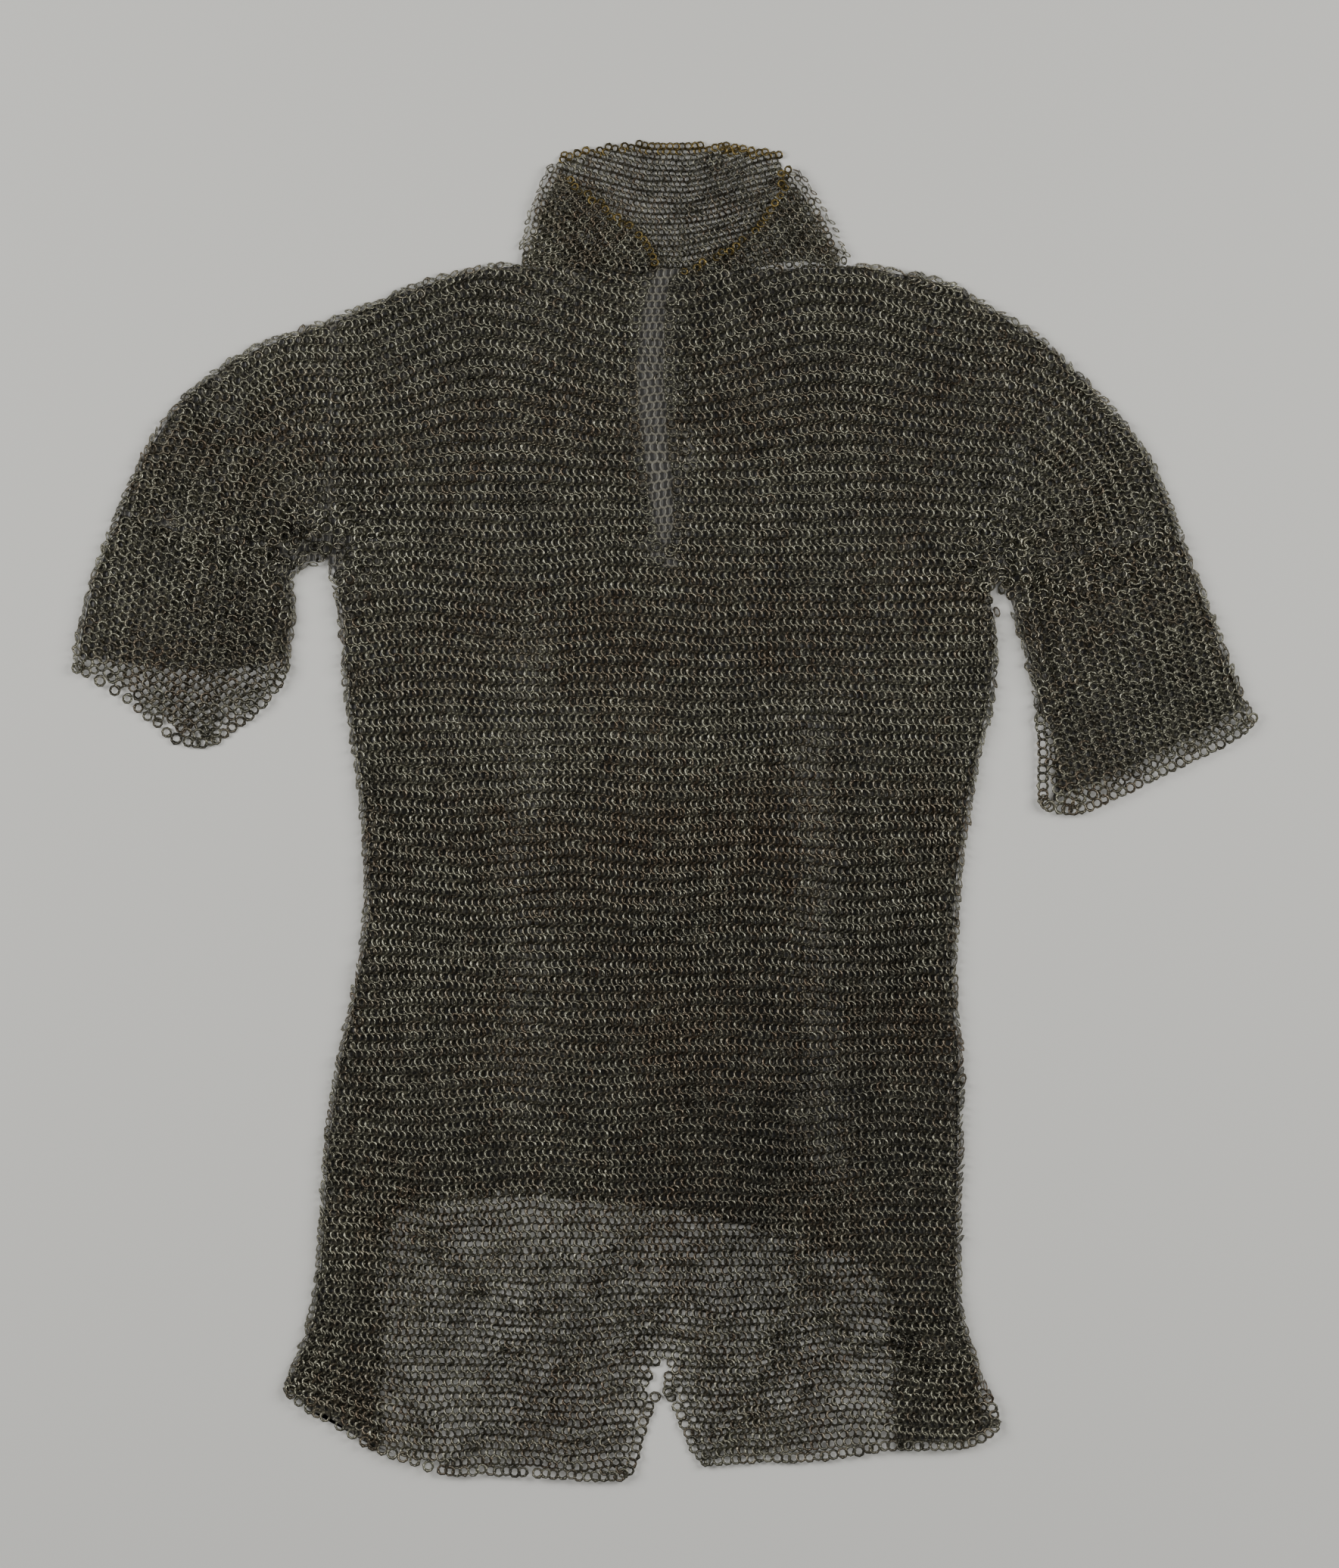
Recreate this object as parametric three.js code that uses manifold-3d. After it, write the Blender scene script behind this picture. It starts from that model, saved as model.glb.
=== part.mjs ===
// Chainmail hauberk laid flat with its front up: body, elbow-length sleeves and a stand-up
// collar with brass edging. Millimetres, +Z up, +Y towards the collar, the surface at Z = 0.
// Left is -X and right is +X. The mail is a tube pressed flat, so there are two layers, and
// the upper one folds down to the surface along the sides, the sleeves and the shoulders.
import * as THREE from 'three';
import { mergeVertices } from 'three/addons/utils/BufferGeometryUtils.js';
import Module from 'manifold-3d';

const wasm = await Module();
wasm.setup();

// ---- Driving dimensions -------------------------------------------------------------------

const WALL = 4;                // one layer of mail: rings of 1.3 mm wire that lean on each other
const SEAM = 0.3;              // clearance between two pieces
const UPPER = WALL + SEAM;     // underside of the upper layer where it lies on the lower one
const LIP = 4;                 // width of the upper layer's edge that stands on the surface
const STEP = 0.2;              // length of the step from that edge up to the underside
const INSET = LIP + STEP + SEAM; // the lower layer ends this far inside a folded edge
const EDGING_INSET = 6;        // the back edging ends this far inside the collar's corners
const EDGING = 8;              // width of the brass edging: two rows of rings
const EDGE_ROUND = 2.4;        // how far the outermost edge of the upper layer is rounded down
const CUT = 40;                // half the height of the solids that trim an outline

const BODY_END_POWER = 4;      // how late a shoulder line bends down towards the armholes
const COLLAR_END_POWER = 2;    // the collar's top edge is a plain arc
const UNDERARM_LEFT = 179;     // Y of each underarm, below which that side of the body is a fold
const UNDERARM_RIGHT = 165;
const NECK_SEAM = 394;         // Y of the seam between the back and the back of the collar
const BREAST_SEAM = 181;       // Y of the seam at the foot of the neck slit

const BODY_ROW = 24;           // spacing of the front's sections
const BODY_COLUMNS = 18;       // steps across each of them, between its folded edges
const BACK_COLUMNS = 6;
const SLEEVE_ROWS = 21;
const SLEEVE_COLUMNS = 11;
const FLAP_ROWS = 8;
const FLAP_COLUMNS = 6;

const BODY_RAMP = { start: 33, end: 56 };    // distance past the back's hem where the front drops
const SLEEVE_RAMP = { start: 19, end: 33 };  // the same past the under sleeve's cuff

// ---- Sections -----------------------------------------------------------------------------

// Body, from the shoulders down: the section's Y, its left and right ends, and how far each end
// drops below that Y.
const BODY = table(['y', 'left', 'right', 'leftDrop', 'rightDrop'], [
  [402, -197, 214, 25, 19],
  [370, -204, 218, 18, 14],
  [337, -211, 222, 11, 10],
  [304, -217, 226, 6, 6],
  [260, -226, 231, 0, 0],
  [216, -237, 237, 0, 0],
  [179, -244, 241, 0, 0],
  [165, -241, 241.7, 0, 0],
  [130, -236, 243, 0, 0],
  [89, -233, 242, 0, 0],
  [34, -225, 230, 0, 0],
  [-21, -219, 220, 0, 0],
  [-76, -218, 215, 0, 0],
  [-131, -227, 214, 0, 0],
  [-186, -239, 219, 0, 0],
  [-241, -247, 218, 0, 0],
  [-351, -255, 217, 0, 0],
  [-392, -266, 226, 0, 0],
  [-420, -278, 238, 0, 0],
  [-447, -287, 246, 0, 0],
  [-500, -301, 254, 0, 0],
]);

// Sleeves, from the armhole to past the cuff: both ends of each section, from left to right.
const ENDS = ['x0', 'y0', 'x1', 'y1'];
const SLEEVE_LEFT = table(ENDS, [
  [-196.3, 377, -244.3, 179],
  [-237, 360, -251, 178],
  [-270, 349, -257, 177],
  [-303, 337, -263, 175],
  [-334, 316, -268, 173],
  [-357, 295, -269, 167],
  [-375, 268, -268, 157],
  [-390, 238, -265, 144],
  [-401, 210, -268, 132],
  [-412, 182, -270, 119],
  [-422, 152, -271, 107],
  [-428, 122, -274, 95],
  [-429, 103, -277, 81],
  [-429, 78, -284, 48],
  [-427, 40, -290, 25],
]);
const SLEEVE_RIGHT = table(ENDS, [
  [242, 165, 213, 383],
  [244, 163, 244, 364],
  [246, 160, 269, 350],
  [248, 155, 293, 330],
  [251, 148, 315, 307],
  [253, 140, 337, 283],
  [257, 129, 356, 255],
  [260, 117, 369, 224],
  [264, 103, 379, 197],
  [268, 86, 390, 169],
  [270, 67, 401, 141],
  [272, 48, 413, 109],
  [273, 29, 425, 78],
  [272, 6, 433, 56],
  [272, -16, 442, 32],
]);

// Collar: the back like the body, the flaps like the sleeves.
const COLLAR_BACK = table(['y', 'left', 'right', 'leftDrop', 'rightDrop'], [
  [487, -82, 92, 10, 9],
  [469, -87, 98, 8, 7],
  [456, -91, 107, 5, 5],
  [440, -97, 117, 2, 2],
  [425, -101, 126, 0, 0],
  [414, -104, 131, 0, 0],
  [394.3, -107, 138, 0, 0],
]);
const FLAP_LEFT = table(ENDS, [
  [-84, 473, -71, 466],
  [-90, 457, -60, 454],
  [-96, 443, -46, 444],
  [-100, 429, -29, 431],
  [-103, 418, -15, 419],
  [-106, 407, -4, 408],
  [-107, 397.5, -2, 397.5],
]);
const FLAP_RIGHT = table(ENDS, [
  [84, 467, 97, 471],
  [82, 454, 107, 456],
  [77, 440, 116, 441],
  [66, 427, 125, 427],
  [54, 415, 130, 416],
  [33, 403, 135, 405],
  [6, 389, 138, 397.5],
]);

// ---- Cut lines ----------------------------------------------------------------------------

// The neck: the seam below each flap and the slit down the breast.
const NECK_CUT = [
  [-107.3, 480], [-107.3, 397.2], [-2, 397.2], [-10, 385], [-17, 356], [-20, 319], [-16, 266],
  [-8, 212], [0, BREAST_SEAM], [2.5, BREAST_SEAM], [8, 206], [8, 216], [6, 249], [3, 272], [1, 319], [1, 356], [3, 376],
  [6, 388.7], [138.3, 397.2], [138.3, 480],
];
const BACK_NECK_CUT = [[-103, NECK_SEAM], [134, NECK_SEAM], [134, 430], [-103, 430]];
// The armholes: what is beyond them belongs to the sleeves.
const ARMHOLE_LEFT = [[-196, 377], [-244, 179], [-244, 177], [-320, 165], [-320, 430], [-196, 430]];
const ARMHOLE_RIGHT = [[212.7, 383], [241.7, 165], [241.7, 163], [320, 150], [320, 430], [212.7, 430]];
const SKIRT_SLIT = [
  [-2, -398], [-3, -413], [-7, -435], [-13, -448], [-17, -467], [-22, -480], [-34, -520],
  [34, -520], [27, -474], [20, -466], [13, -446], [5, -432], [2, -416],
];
const HEM = [
  [-340, 460], [-340, -340], [-296, -405], [-277, -421], [-262, -435], [-243, -445], [-218, -461],
  [-189, -473], [-157, -483], [-130, -482], [-34, -487], [43, -474], [112, -472], [161, -464],
  [221, -463], [235, -457], [245, -448], [248, -437], [241, -428], [231, -408], [226, -385],
  [300, -340], [300, 460],
];
// The back's hem: an arch between two legs that reach the front's hem.
const BACK_ARCH = [
  [-200, -520], [-206, -455], [-204, -345], [-200, -304], [-184, -284], [-97, -279], [3, -288],
  [90, -307], [143, -324], [161, -345], [167, -400], [172, -520],
];
const CUFF_LEFT = [
  [-449, 105], [-425, 100], [-399, 85], [-374, 65], [-359, 51], [-344, 46], [-326, 46],
  [-314, 56], [-295, 70], [-280, 87], [-273, 95], [-262, 100], [-150, 100], [-150, 420],
  [-449, 420],
];
const CUFF_LEFT_UNDER = [
  [-449, 116], [-390, 108], [-326, 98], [-281, 109], [-262, 112], [-150, 112], [-150, 420],
  [-449, 420],
];
const CUFF_RIGHT = [
  [255, 3], [272, 2], [298, -4], [324, 6], [364, 26], [405, 46], [423, 56], [431, 64], [453, 78],
  [453, 420], [150, 420], [150, 3],
];
const CUFF_RIGHT_UNDER = [
  [255, 13], [272, 12], [298, 7], [324, 17], [364, 38], [405, 58], [423, 68], [453, 84],
  [453, 420], [150, 420], [150, 13],
];

// ---- Folds --------------------------------------------------------------------------------

// Each fold is a soft ridge between two points: its half width and its height.
const FOLD_COLUMNS = ['x0', 'y0', 'x1', 'y1', 'width', 'height'];
const BODY_FOLDS = table(FOLD_COLUMNS, [
  [12, 362, 16, 292, 12, 4.5],       // gathered beside the neck slit
  [28, 384, 70, 352, 14, 3],         // pulled across the right breast
  [-215, 222, -236, 176, 11, 4],     // puckers at the left underarm
  [-190, 205, -212, 150, 12, 3],
  [212, 208, 236, 160, 12, 4.5],     // puckers at the right underarm
  [186, 190, 210, 132, 13, 3],
  [-150, 60, -158, -240, 22, 2.5],   // long soft drapes down the body
  [-20, 120, -32, -200, 24, 2],
  [150, 40, 172, -250, 24, 3],
  [70, -20, 58, -260, 22, 2],
  [212, -378, 128, -418, 14, 4],     // the right leg's hem, rumpled
  [196, -392, 132, -438, 11, 3],
  [-150, -300, -170, -460, 20, 2.5],
  [-60, -300, -70, -470, 20, 2],
]);
const SLEEVE_LEFT_FOLDS = table(FOLD_COLUMNS, [
  [-250, 215, -300, 150, 13, 4],     // crumpled below the underarm
  [-262, 240, -322, 190, 15, 3],
  [-284, 150, -292, 108, 10, 3.5],
  [-340, 250, -378, 140, 20, 2],
]);
const SLEEVE_RIGHT_FOLDS = table(FOLD_COLUMNS, [
  [258, 190, 276, 88, 9, 4],         // pleats down the sleeve's inner side
  [272, 200, 292, 96, 10, 3.5],
  [290, 210, 312, 100, 12, 3],
  [340, 200, 384, 90, 20, 2],
]);

// ---- Materials ----------------------------------------------------------------------------

const IRON = new THREE.MeshStandardMaterial({ color: 0x4a4740, roughness: 0.55, metalness: 0.9 });
const BRASS = new THREE.MeshStandardMaterial({ color: 0x6f6238, roughness: 0.5, metalness: 0.9 });

// ---- Tools for sections -------------------------------------------------------------------

function table(columns, rows) {
  return rows.map((row) => Object.fromEntries(columns.map((name, i) => [name, row[i]])));
}

// A smooth curve through one column of a table, at a place between 0 and the last row.
function column(rows, name, place) {
  const i = Math.min(Math.floor(place), rows.length - 2);
  const at = (k) => rows[THREE.MathUtils.clamp(k, 0, rows.length - 1)][name];
  const t = place - i;
  const slope0 = (at(i + 1) - at(i - 1)) / 2;
  const slope1 = (at(i + 2) - at(i)) / 2;
  const rise = at(i + 1) - at(i);
  return at(i) + t * slope0 + t * t * (3 * rise - 2 * slope0 - slope1)
    + t * t * t * (slope0 + slope1 - 2 * rise);
}

// The place in a table of levels whose y is asked for.
function placeOfLevel(rows, y) {
  const i = THREE.MathUtils.clamp(rows.findIndex((row) => row.y <= y) - 1, 0, rows.length - 2);
  return THREE.MathUtils.clamp(i + (rows[i].y - y) / (rows[i].y - rows[i + 1].y), 0, rows.length - 1);
}

// A section of a table of levels: a level line whose ends drop.
function levelSection(rows, power) {
  return (place) => {
    const value = (name) => column(rows, name, place);
    const left = value('left');
    const right = value('right');
    return {
      length: right - left,
      point(distance) {
        const t = distance / (right - left);
        const drop = value(t < 0.5 ? 'leftDrop' : 'rightDrop');
        return [left + distance, value('y') - drop * Math.abs(2 * t - 1) ** power];
      },
    };
  };
}

// A section of a table of end points: a straight line between its two ends.
function straightSection(rows, shift = 0) {
  return (place) => {
    const from = new THREE.Vector2(column(rows, 'x0', place) + shift, column(rows, 'y0', place));
    const to = new THREE.Vector2(column(rows, 'x1', place) + shift, column(rows, 'y1', place));
    const length = from.distanceTo(to);
    return {
      length,
      point(distance) {
        return from.clone().lerp(to, distance / length).toArray();
      },
    };
  };
}

// The given number of even steps between two values.
function steps(from, to, count) {
  return Array.from({ length: count + 1 }, (_, i) => from + ((to - from) * i) / count);
}

// ---- Tools for solids ---------------------------------------------------------------------

// A closed sheet over a grid of plan points: grid[row][k] = { x, y, top, bottom }. Rows run from
// left to right and follow each other so that the upper faces point up.
function gridSolid(grid) {
  const rows = grid.length;
  const columns = grid[0].length;
  const positions = [];
  for (const side of ['top', 'bottom']) {
    for (const row of grid) {
      for (const p of row) positions.push(p.x, p.y, p[side]);
    }
  }
  const top = (i, k) => i * columns + k;
  const bottom = (i, k) => rows * columns + top(i, k);
  const indices = [];
  const quad = (a, b, c, d) => indices.push(a, b, c, a, c, d);
  for (let i = 0; i < rows - 1; i += 1) {
    for (let k = 0; k < columns - 1; k += 1) {
      quad(top(i, k), top(i + 1, k), top(i + 1, k + 1), top(i, k + 1));
      quad(bottom(i, k), bottom(i, k + 1), bottom(i + 1, k + 1), bottom(i + 1, k));
    }
    quad(top(i, 0), bottom(i, 0), bottom(i + 1, 0), top(i + 1, 0));
    const k = columns - 1;
    quad(top(i + 1, k), bottom(i + 1, k), bottom(i, k), top(i, k));
  }
  for (let k = 0; k < columns - 1; k += 1) {
    quad(top(0, k + 1), bottom(0, k + 1), bottom(0, k), top(0, k));
    quad(top(rows - 1, k), bottom(rows - 1, k), bottom(rows - 1, k + 1), top(rows - 1, k + 1));
  }
  const geometry = new THREE.BufferGeometry();
  geometry.setAttribute('position', new THREE.Float32BufferAttribute(positions, 3));
  geometry.setIndex(indices);
  return toManifold(geometry);
}

function toManifold(geometry) {
  geometry.deleteAttribute('normal');
  geometry.deleteAttribute('uv');
  const merged = mergeVertices(geometry, 1e-4);
  return new wasm.Manifold(new wasm.Mesh({
    numProp: 3,
    vertProperties: Float32Array.from(merged.attributes.position.array),
    triVerts: Uint32Array.from(merged.index.array),
  }));
}

function toGeometry(solid) {
  const mesh = solid.getMesh();
  const geometry = new THREE.BufferGeometry();
  geometry.setAttribute('position', new THREE.BufferAttribute(mesh.vertProperties, 3));
  geometry.setIndex(new THREE.BufferAttribute(mesh.triVerts, 1));
  geometry.computeVertexNormals();
  return geometry;
}

// An upright solid over an outline, to trim sheets with.
function prism(outline) {
  const shape = new THREE.Shape(outline.map(([x, y]) => new THREE.Vector2(x, y)));
  const geometry = new THREE.ExtrudeGeometry(shape, { depth: 2 * CUT, bevelEnabled: false });
  geometry.translate(0, 0, -CUT);
  return toManifold(geometry);
}

function part(name, solid, material) {
  const mesh = new THREE.Mesh(toGeometry(solid), material);
  mesh.name = name;
  return mesh;
}

// ---- Heights ------------------------------------------------------------------------------

function segmentDistance(x, y, ax, ay, bx, by) {
  const p = new THREE.Vector3(x, y, 0);
  const line = new THREE.Line3(new THREE.Vector3(ax, ay, 0), new THREE.Vector3(bx, by, 0));
  return p.distanceTo(line.closestPointToPoint(p, true, new THREE.Vector3()));
}

function isInside(outline, x, y) {
  let inside = false;
  outline.forEach(([ax, ay], i) => {
    const [bx, by] = outline[(i + 1) % outline.length];
    if (ay > y !== by > y && x < ((bx - ax) * (y - ay)) / (by - ay) + ax) inside = !inside;
  });
  return inside;
}

function outlineDistance(outline, x, y) {
  return Math.min(...outline.map(([ax, ay], i) => {
    const [bx, by] = outline[(i + 1) % outline.length];
    return segmentDistance(x, y, ax, ay, bx, by);
  }));
}

// The upper layer's underside: on the lower layer, and down on the surface well past its end.
function drape(isPastEnd, outline, ramp) {
  return (x, y) => {
    if (!isPastEnd(x, y)) return UPPER;
    const past = outlineDistance(outline, x, y);
    return UPPER * (1 - THREE.MathUtils.smoothstep(past, ramp.start, ramp.end));
  };
}

function foldHeight(folds, x, y) {
  return folds.reduce((sum, fold) => {
    const away = segmentDistance(x, y, fold.x0, fold.y0, fold.x1, fold.y1) / fold.width;
    return sum + fold.height * Math.exp(-away * away);
  }, 0);
}

// ---- Layers -------------------------------------------------------------------------------

// A piece of the upper layer. folds.left, folds.right and folds.top say where it folds down to
// the surface: a test of y for the two ends of a section, and true or false for the first one.
function upperLayer({ section, places, columns, from = () => 0, to = (length) => length,
  folded = {}, underside = () => UPPER, folds = [] }) {
  const topRows = folded.top ? 2 : 0;
  return gridSolid(places.map((place, row) => {
    const { length, point } = section(place);
    const [first, last] = [from(length), to(length)];
    const leftStops = folded.left ? [first, first + LIP] : [];
    const rightStops = folded.right ? [last - LIP, last] : [];
    const start = folded.left ? first + LIP + STEP : first;
    const end = folded.right ? last - LIP - STEP : last;
    const stops = [...leftStops, ...steps(start, end, columns), ...rightStops];
    return stops.map((distance, k) => {
      const [x, y] = point(distance);
      const rank = Math.min(
        folded.left?.(y) ? k : Infinity,
        folded.right?.(y) ? stops.length - 1 - k : Infinity,
        row < topRows ? row : Infinity,
      );
      const base = underside(x, y) + foldHeight(folds, x, y);
      const rounding = [EDGE_ROUND, EDGE_ROUND / 5][rank] ?? 0;
      return { x, y, bottom: rank < 2 ? 0 : base, top: base + WALL - rounding };
    });
  }));
}

// A piece of the lower layer: a flat wall on the surface, its ends inset from the section's.
function lowerLayer({ section, places, columns, left, right }) {
  return gridSolid(places.map((place) => {
    const { length, point } = section(place);
    return steps(left(place), length - right(place), columns)
      .map((distance) => point(distance))
      .map(([x, y]) => ({ x, y, top: WALL, bottom: 0 }));
  }));
}

// ---- Body ---------------------------------------------------------------------------------

const bodySection = levelSection(BODY, BODY_END_POWER);
const bodyPlace = (y) => placeOfLevel(BODY, y);
const bodyTop = BODY[0].y;
const bodyBottom = BODY.at(-1).y;

function levels(from, to, spacing) {
  return steps(from, to, Math.ceil((from - to) / spacing));
}

// The whole front as one sheet, which frontPieces cuts at its seams.
function frontSheet() {
  const belowTop = bodyTop - LIP - STEP;
  const places = [
    bodyTop,
    bodyTop - LIP,
    ...levels(belowTop, UNDERARM_LEFT - 1, BODY_ROW),
    ...levels(UNDERARM_RIGHT - 1, bodyBottom, BODY_ROW),
  ].map(bodyPlace);
  const sheet = upperLayer({
    section: bodySection,
    places,
    columns: BODY_COLUMNS,
    folded: {
      left: (y) => y < UNDERARM_LEFT - 2,
      right: (y) => y < UNDERARM_RIGHT - 2,
      top: true,
    },
    underside: drape((x, y) => isInside(BACK_ARCH, x, y), BACK_ARCH, BODY_RAMP),
    folds: BODY_FOLDS,
  });
  return sheet
    .intersect(prism(HEM))
    .subtract(prism(ARMHOLE_LEFT))
    .subtract(prism(ARMHOLE_RIGHT))
    .subtract(prism(NECK_CUT))
    .subtract(prism(SKIRT_SLIT));
}

// The two breasts, which the neck slit parts, and everything below them.
function frontPieces() {
  const [below, above] = frontSheet().splitByPlane([0, -1, 0], SEAM / 2 - BREAST_SEAM);
  const breasts = above.trimByPlane([0, 1, 0], BREAST_SEAM + SEAM / 2).decompose();
  const isLeft = (solid) => solid.boundingBox().min[0] < BODY[0].left + LIP;
  return {
    below,
    left: breasts.find(isLeft),
    right: breasts.find((solid) => !isLeft(solid)),
  };
}

function backPanel() {
  const insetBelow = (underarm) => (place) => (place > bodyPlace(underarm) ? INSET : 0);
  const places = [
    ...levels(bodyTop - INSET, UNDERARM_LEFT, BODY_ROW),
    UNDERARM_LEFT - STEP,
    UNDERARM_RIGHT,
    ...levels(UNDERARM_RIGHT - 1, bodyBottom, BODY_ROW),
  ].map(bodyPlace);
  return lowerLayer({
    section: bodySection,
    places,
    columns: BACK_COLUMNS,
    left: insetBelow(UNDERARM_LEFT),
    right: insetBelow(UNDERARM_RIGHT),
  })
    .intersect(prism(HEM))
    .subtract(prism(ARMHOLE_LEFT))
    .subtract(prism(ARMHOLE_RIGHT))
    .subtract(prism(BACK_NECK_CUT))
    .subtract(prism(BACK_ARCH));
}

// ---- Sleeves ------------------------------------------------------------------------------

const LEFT = {
  rows: SLEEVE_LEFT, cuff: CUFF_LEFT, underCuff: CUFF_LEFT_UNDER, folds: SLEEVE_LEFT_FOLDS,
};
const RIGHT = {
  rows: SLEEVE_RIGHT, cuff: CUFF_RIGHT, underCuff: CUFF_RIGHT_UNDER, folds: SLEEVE_RIGHT_FOLDS,
};
const always = () => true;

function upperSleeve({ rows, cuff, underCuff, folds }) {
  return upperLayer({
    section: straightSection(rows),
    places: steps(0, rows.length - 1, SLEEVE_ROWS),
    columns: SLEEVE_COLUMNS,
    folded: { left: always, right: always },
    underside: drape((x, y) => !isInside(underCuff, x, y), underCuff, SLEEVE_RAMP),
    folds,
  }).intersect(prism(cuff));
}

function underSleeve({ rows, underCuff }) {
  return lowerLayer({
    section: straightSection(rows),
    places: steps(0, rows.length - 1, SLEEVE_ROWS),
    columns: 1,
    left: () => INSET,
    right: () => INSET,
  }).intersect(prism(underCuff));
}

// ---- Collar -------------------------------------------------------------------------------

const collarSection = levelSection(COLLAR_BACK, COLLAR_END_POWER);
const collarPlace = (y) => placeOfLevel(COLLAR_BACK, y);
const collarTop = COLLAR_BACK[0].y;
const collarBottom = COLLAR_BACK.at(-1).y;

function collarBack() {
  return lowerLayer({
    section: collarSection,
    places: steps(collarTop - EDGING - SEAM, collarBottom, FLAP_ROWS).map(collarPlace),
    columns: FLAP_ROWS,
    left: () => INSET,
    right: () => INSET,
  });
}

function backEdging() {
  return lowerLayer({
    section: collarSection,
    places: [collarTop, collarTop - EDGING].map(collarPlace),
    columns: FLAP_ROWS,
    left: () => EDGING_INSET,
    right: () => EDGING_INSET,
  });
}

// A flap folds down along its outer side. Its edging takes up the other end of each section.
function collarFlap(rows, side) {
  const isLeft = side === 'left';
  return upperLayer({
    section: straightSection(rows),
    places: steps(0, rows.length - 1, FLAP_ROWS),
    columns: FLAP_COLUMNS,
    from: () => (isLeft ? 0 : EDGING + SEAM),
    to: (length) => (isLeft ? length - EDGING - SEAM : length),
    folded: { [side]: always },
  });
}

function flapEdging(rows, side) {
  const isLeft = side === 'left';
  return upperLayer({
    section: straightSection(rows),
    places: steps(0, rows.length - 1, FLAP_ROWS),
    columns: 1,
    from: (length) => (isLeft ? length - EDGING : 0),
    to: (length) => (isLeft ? length : EDGING),
  });
}

// ---- The hauberk --------------------------------------------------------------------------

const front = frontPieces();
const hauberk = new THREE.Group();
hauberk.add(
  part('front_left', front.left, IRON),
  part('front_right', front.right, IRON),
  part('front_lower', front.below, IRON),
  part('back_panel', backPanel(), IRON),
  part('sleeve_left_upper', upperSleeve(LEFT), IRON),
  part('sleeve_left_under', underSleeve(LEFT), IRON),
  part('sleeve_right_upper', upperSleeve(RIGHT), IRON),
  part('sleeve_right_under', underSleeve(RIGHT), IRON),
  part('collar_back', collarBack(), IRON),
  part('collar_left', collarFlap(FLAP_LEFT, 'left'), IRON),
  part('collar_right', collarFlap(FLAP_RIGHT, 'right'), IRON),
  part('collar_edge_back', backEdging(), BRASS),
  part('collar_edge_left', flapEdging(FLAP_LEFT, 'left'), BRASS),
  part('collar_edge_right', flapEdging(FLAP_RIGHT, 'right'), BRASS),
);

// The origin is the middle of the hauberk's footprint, on the surface.
const box = new THREE.Box3().setFromObject(hauberk);
const middle = box.getCenter(new THREE.Vector3());
hauberk.position.set(-middle.x, -middle.y, -box.min.z);

export default hauberk;
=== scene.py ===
"""Looks of the chainmail hauberk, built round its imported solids.

The mail is real rings: points on a lattice of rows, each turned as a ring of European
four-in-one mail lies, and one ring joined on every point. Rows run across the body, along the
sleeves and along the collar's edges. The layers that are hidden under them are thin shells.
Metres, +Z up, +Y towards the collar, -X the left side as shown.
"""

import math
from functools import lru_cache

import bmesh
import bpy
import numpy as np
from bpy.props import FloatProperty, IntProperty, PointerProperty, StringProperty
from mathutils import Matrix, Vector
from mathutils.bvhtree import BVHTree
from mathutils.kdtree import KDTree


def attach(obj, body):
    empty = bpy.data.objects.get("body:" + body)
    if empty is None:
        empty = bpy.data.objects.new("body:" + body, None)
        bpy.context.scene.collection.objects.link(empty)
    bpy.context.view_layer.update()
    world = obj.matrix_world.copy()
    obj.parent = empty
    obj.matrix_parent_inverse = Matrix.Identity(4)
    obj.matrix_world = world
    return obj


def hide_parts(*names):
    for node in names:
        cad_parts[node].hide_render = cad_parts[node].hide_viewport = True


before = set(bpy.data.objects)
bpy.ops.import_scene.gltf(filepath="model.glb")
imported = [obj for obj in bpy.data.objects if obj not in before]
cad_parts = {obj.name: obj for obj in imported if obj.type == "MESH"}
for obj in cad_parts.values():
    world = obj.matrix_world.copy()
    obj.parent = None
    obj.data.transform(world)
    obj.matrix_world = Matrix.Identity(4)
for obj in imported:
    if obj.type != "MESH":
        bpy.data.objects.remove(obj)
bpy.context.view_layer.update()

bl_info = {
    "name": "Chainmail hauberk",
    "version": (1, 0, 0),
    "blender": (4, 5, 0),
    "location": "3D View > Sidebar > Hauberk",
    "description": "A hauberk of four-in-one mail, laid flat, with brass edging on its collar",
    "category": "Add Mesh",
}

MM = 0.001
BODY = "root"

# ---- Named places and sizes of the weave, in millimetres ------------------------------------

UNDERARM = {"left": (-243.0, 178.0), "right": (240.5, 165.0)}
SLEEVE_HANG = {"left": 12.0, "right": 15.0}    # degrees each sleeve swings out from the body
TOP_ROW = 462.0                                # the rows start here, above the shoulders
SIDES = (-415.0, 155.0)                        # levels between which the sides bound the rows
SKIRT_TOP = -250.0                             # below it the rows follow the hem
HEM_FOOT = -487.0
SLIT_HALF = 34.0                               # half the width in which the hem is parted
WALL = 4.0                                     # thickness of a layer
RELIEF_STEP = 1.5                              # spacing of the heights read from the solids
RING_SEGMENTS = 8
WIRE_SIDES = 3
FLATNESS = 0.42                                # height of the beaten wire, to a round one's
LAP_SPREAD = (1.55, 1, 1.15)                   # how far the riveted lap is beaten out
RING_DEPTH = 2.2                               # middle of a ring, below the top of its layer
LEAN_WIRES = 0.9                               # a ring's low side shows so many wires past the next
LEAN_COSINES = (0.85, 0.955)                   # steepest and flattest lean
EDGING_WIDTH = 8.0                             # the brass edging: two rows of rings
STRIP_WIDTH = 10.0                             # least width of a strip's flat size
EDGE_INSET = 4.2                               # a cut edge's last ring, from the edge
EDGE_STEP = 5.6                                # spacing of the rings along a cut edge
EDGE_ROOM = 7.6                                # the rows stop so far from a cut edge
FOLD_INSET = 2.9                               # a fold's ring that stands on edge
FOLD_STEP = 4.7                                # spacing of the rings along a fold
FOLD_ROOM = 4.2                                # the rows stop so far from a fold
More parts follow.
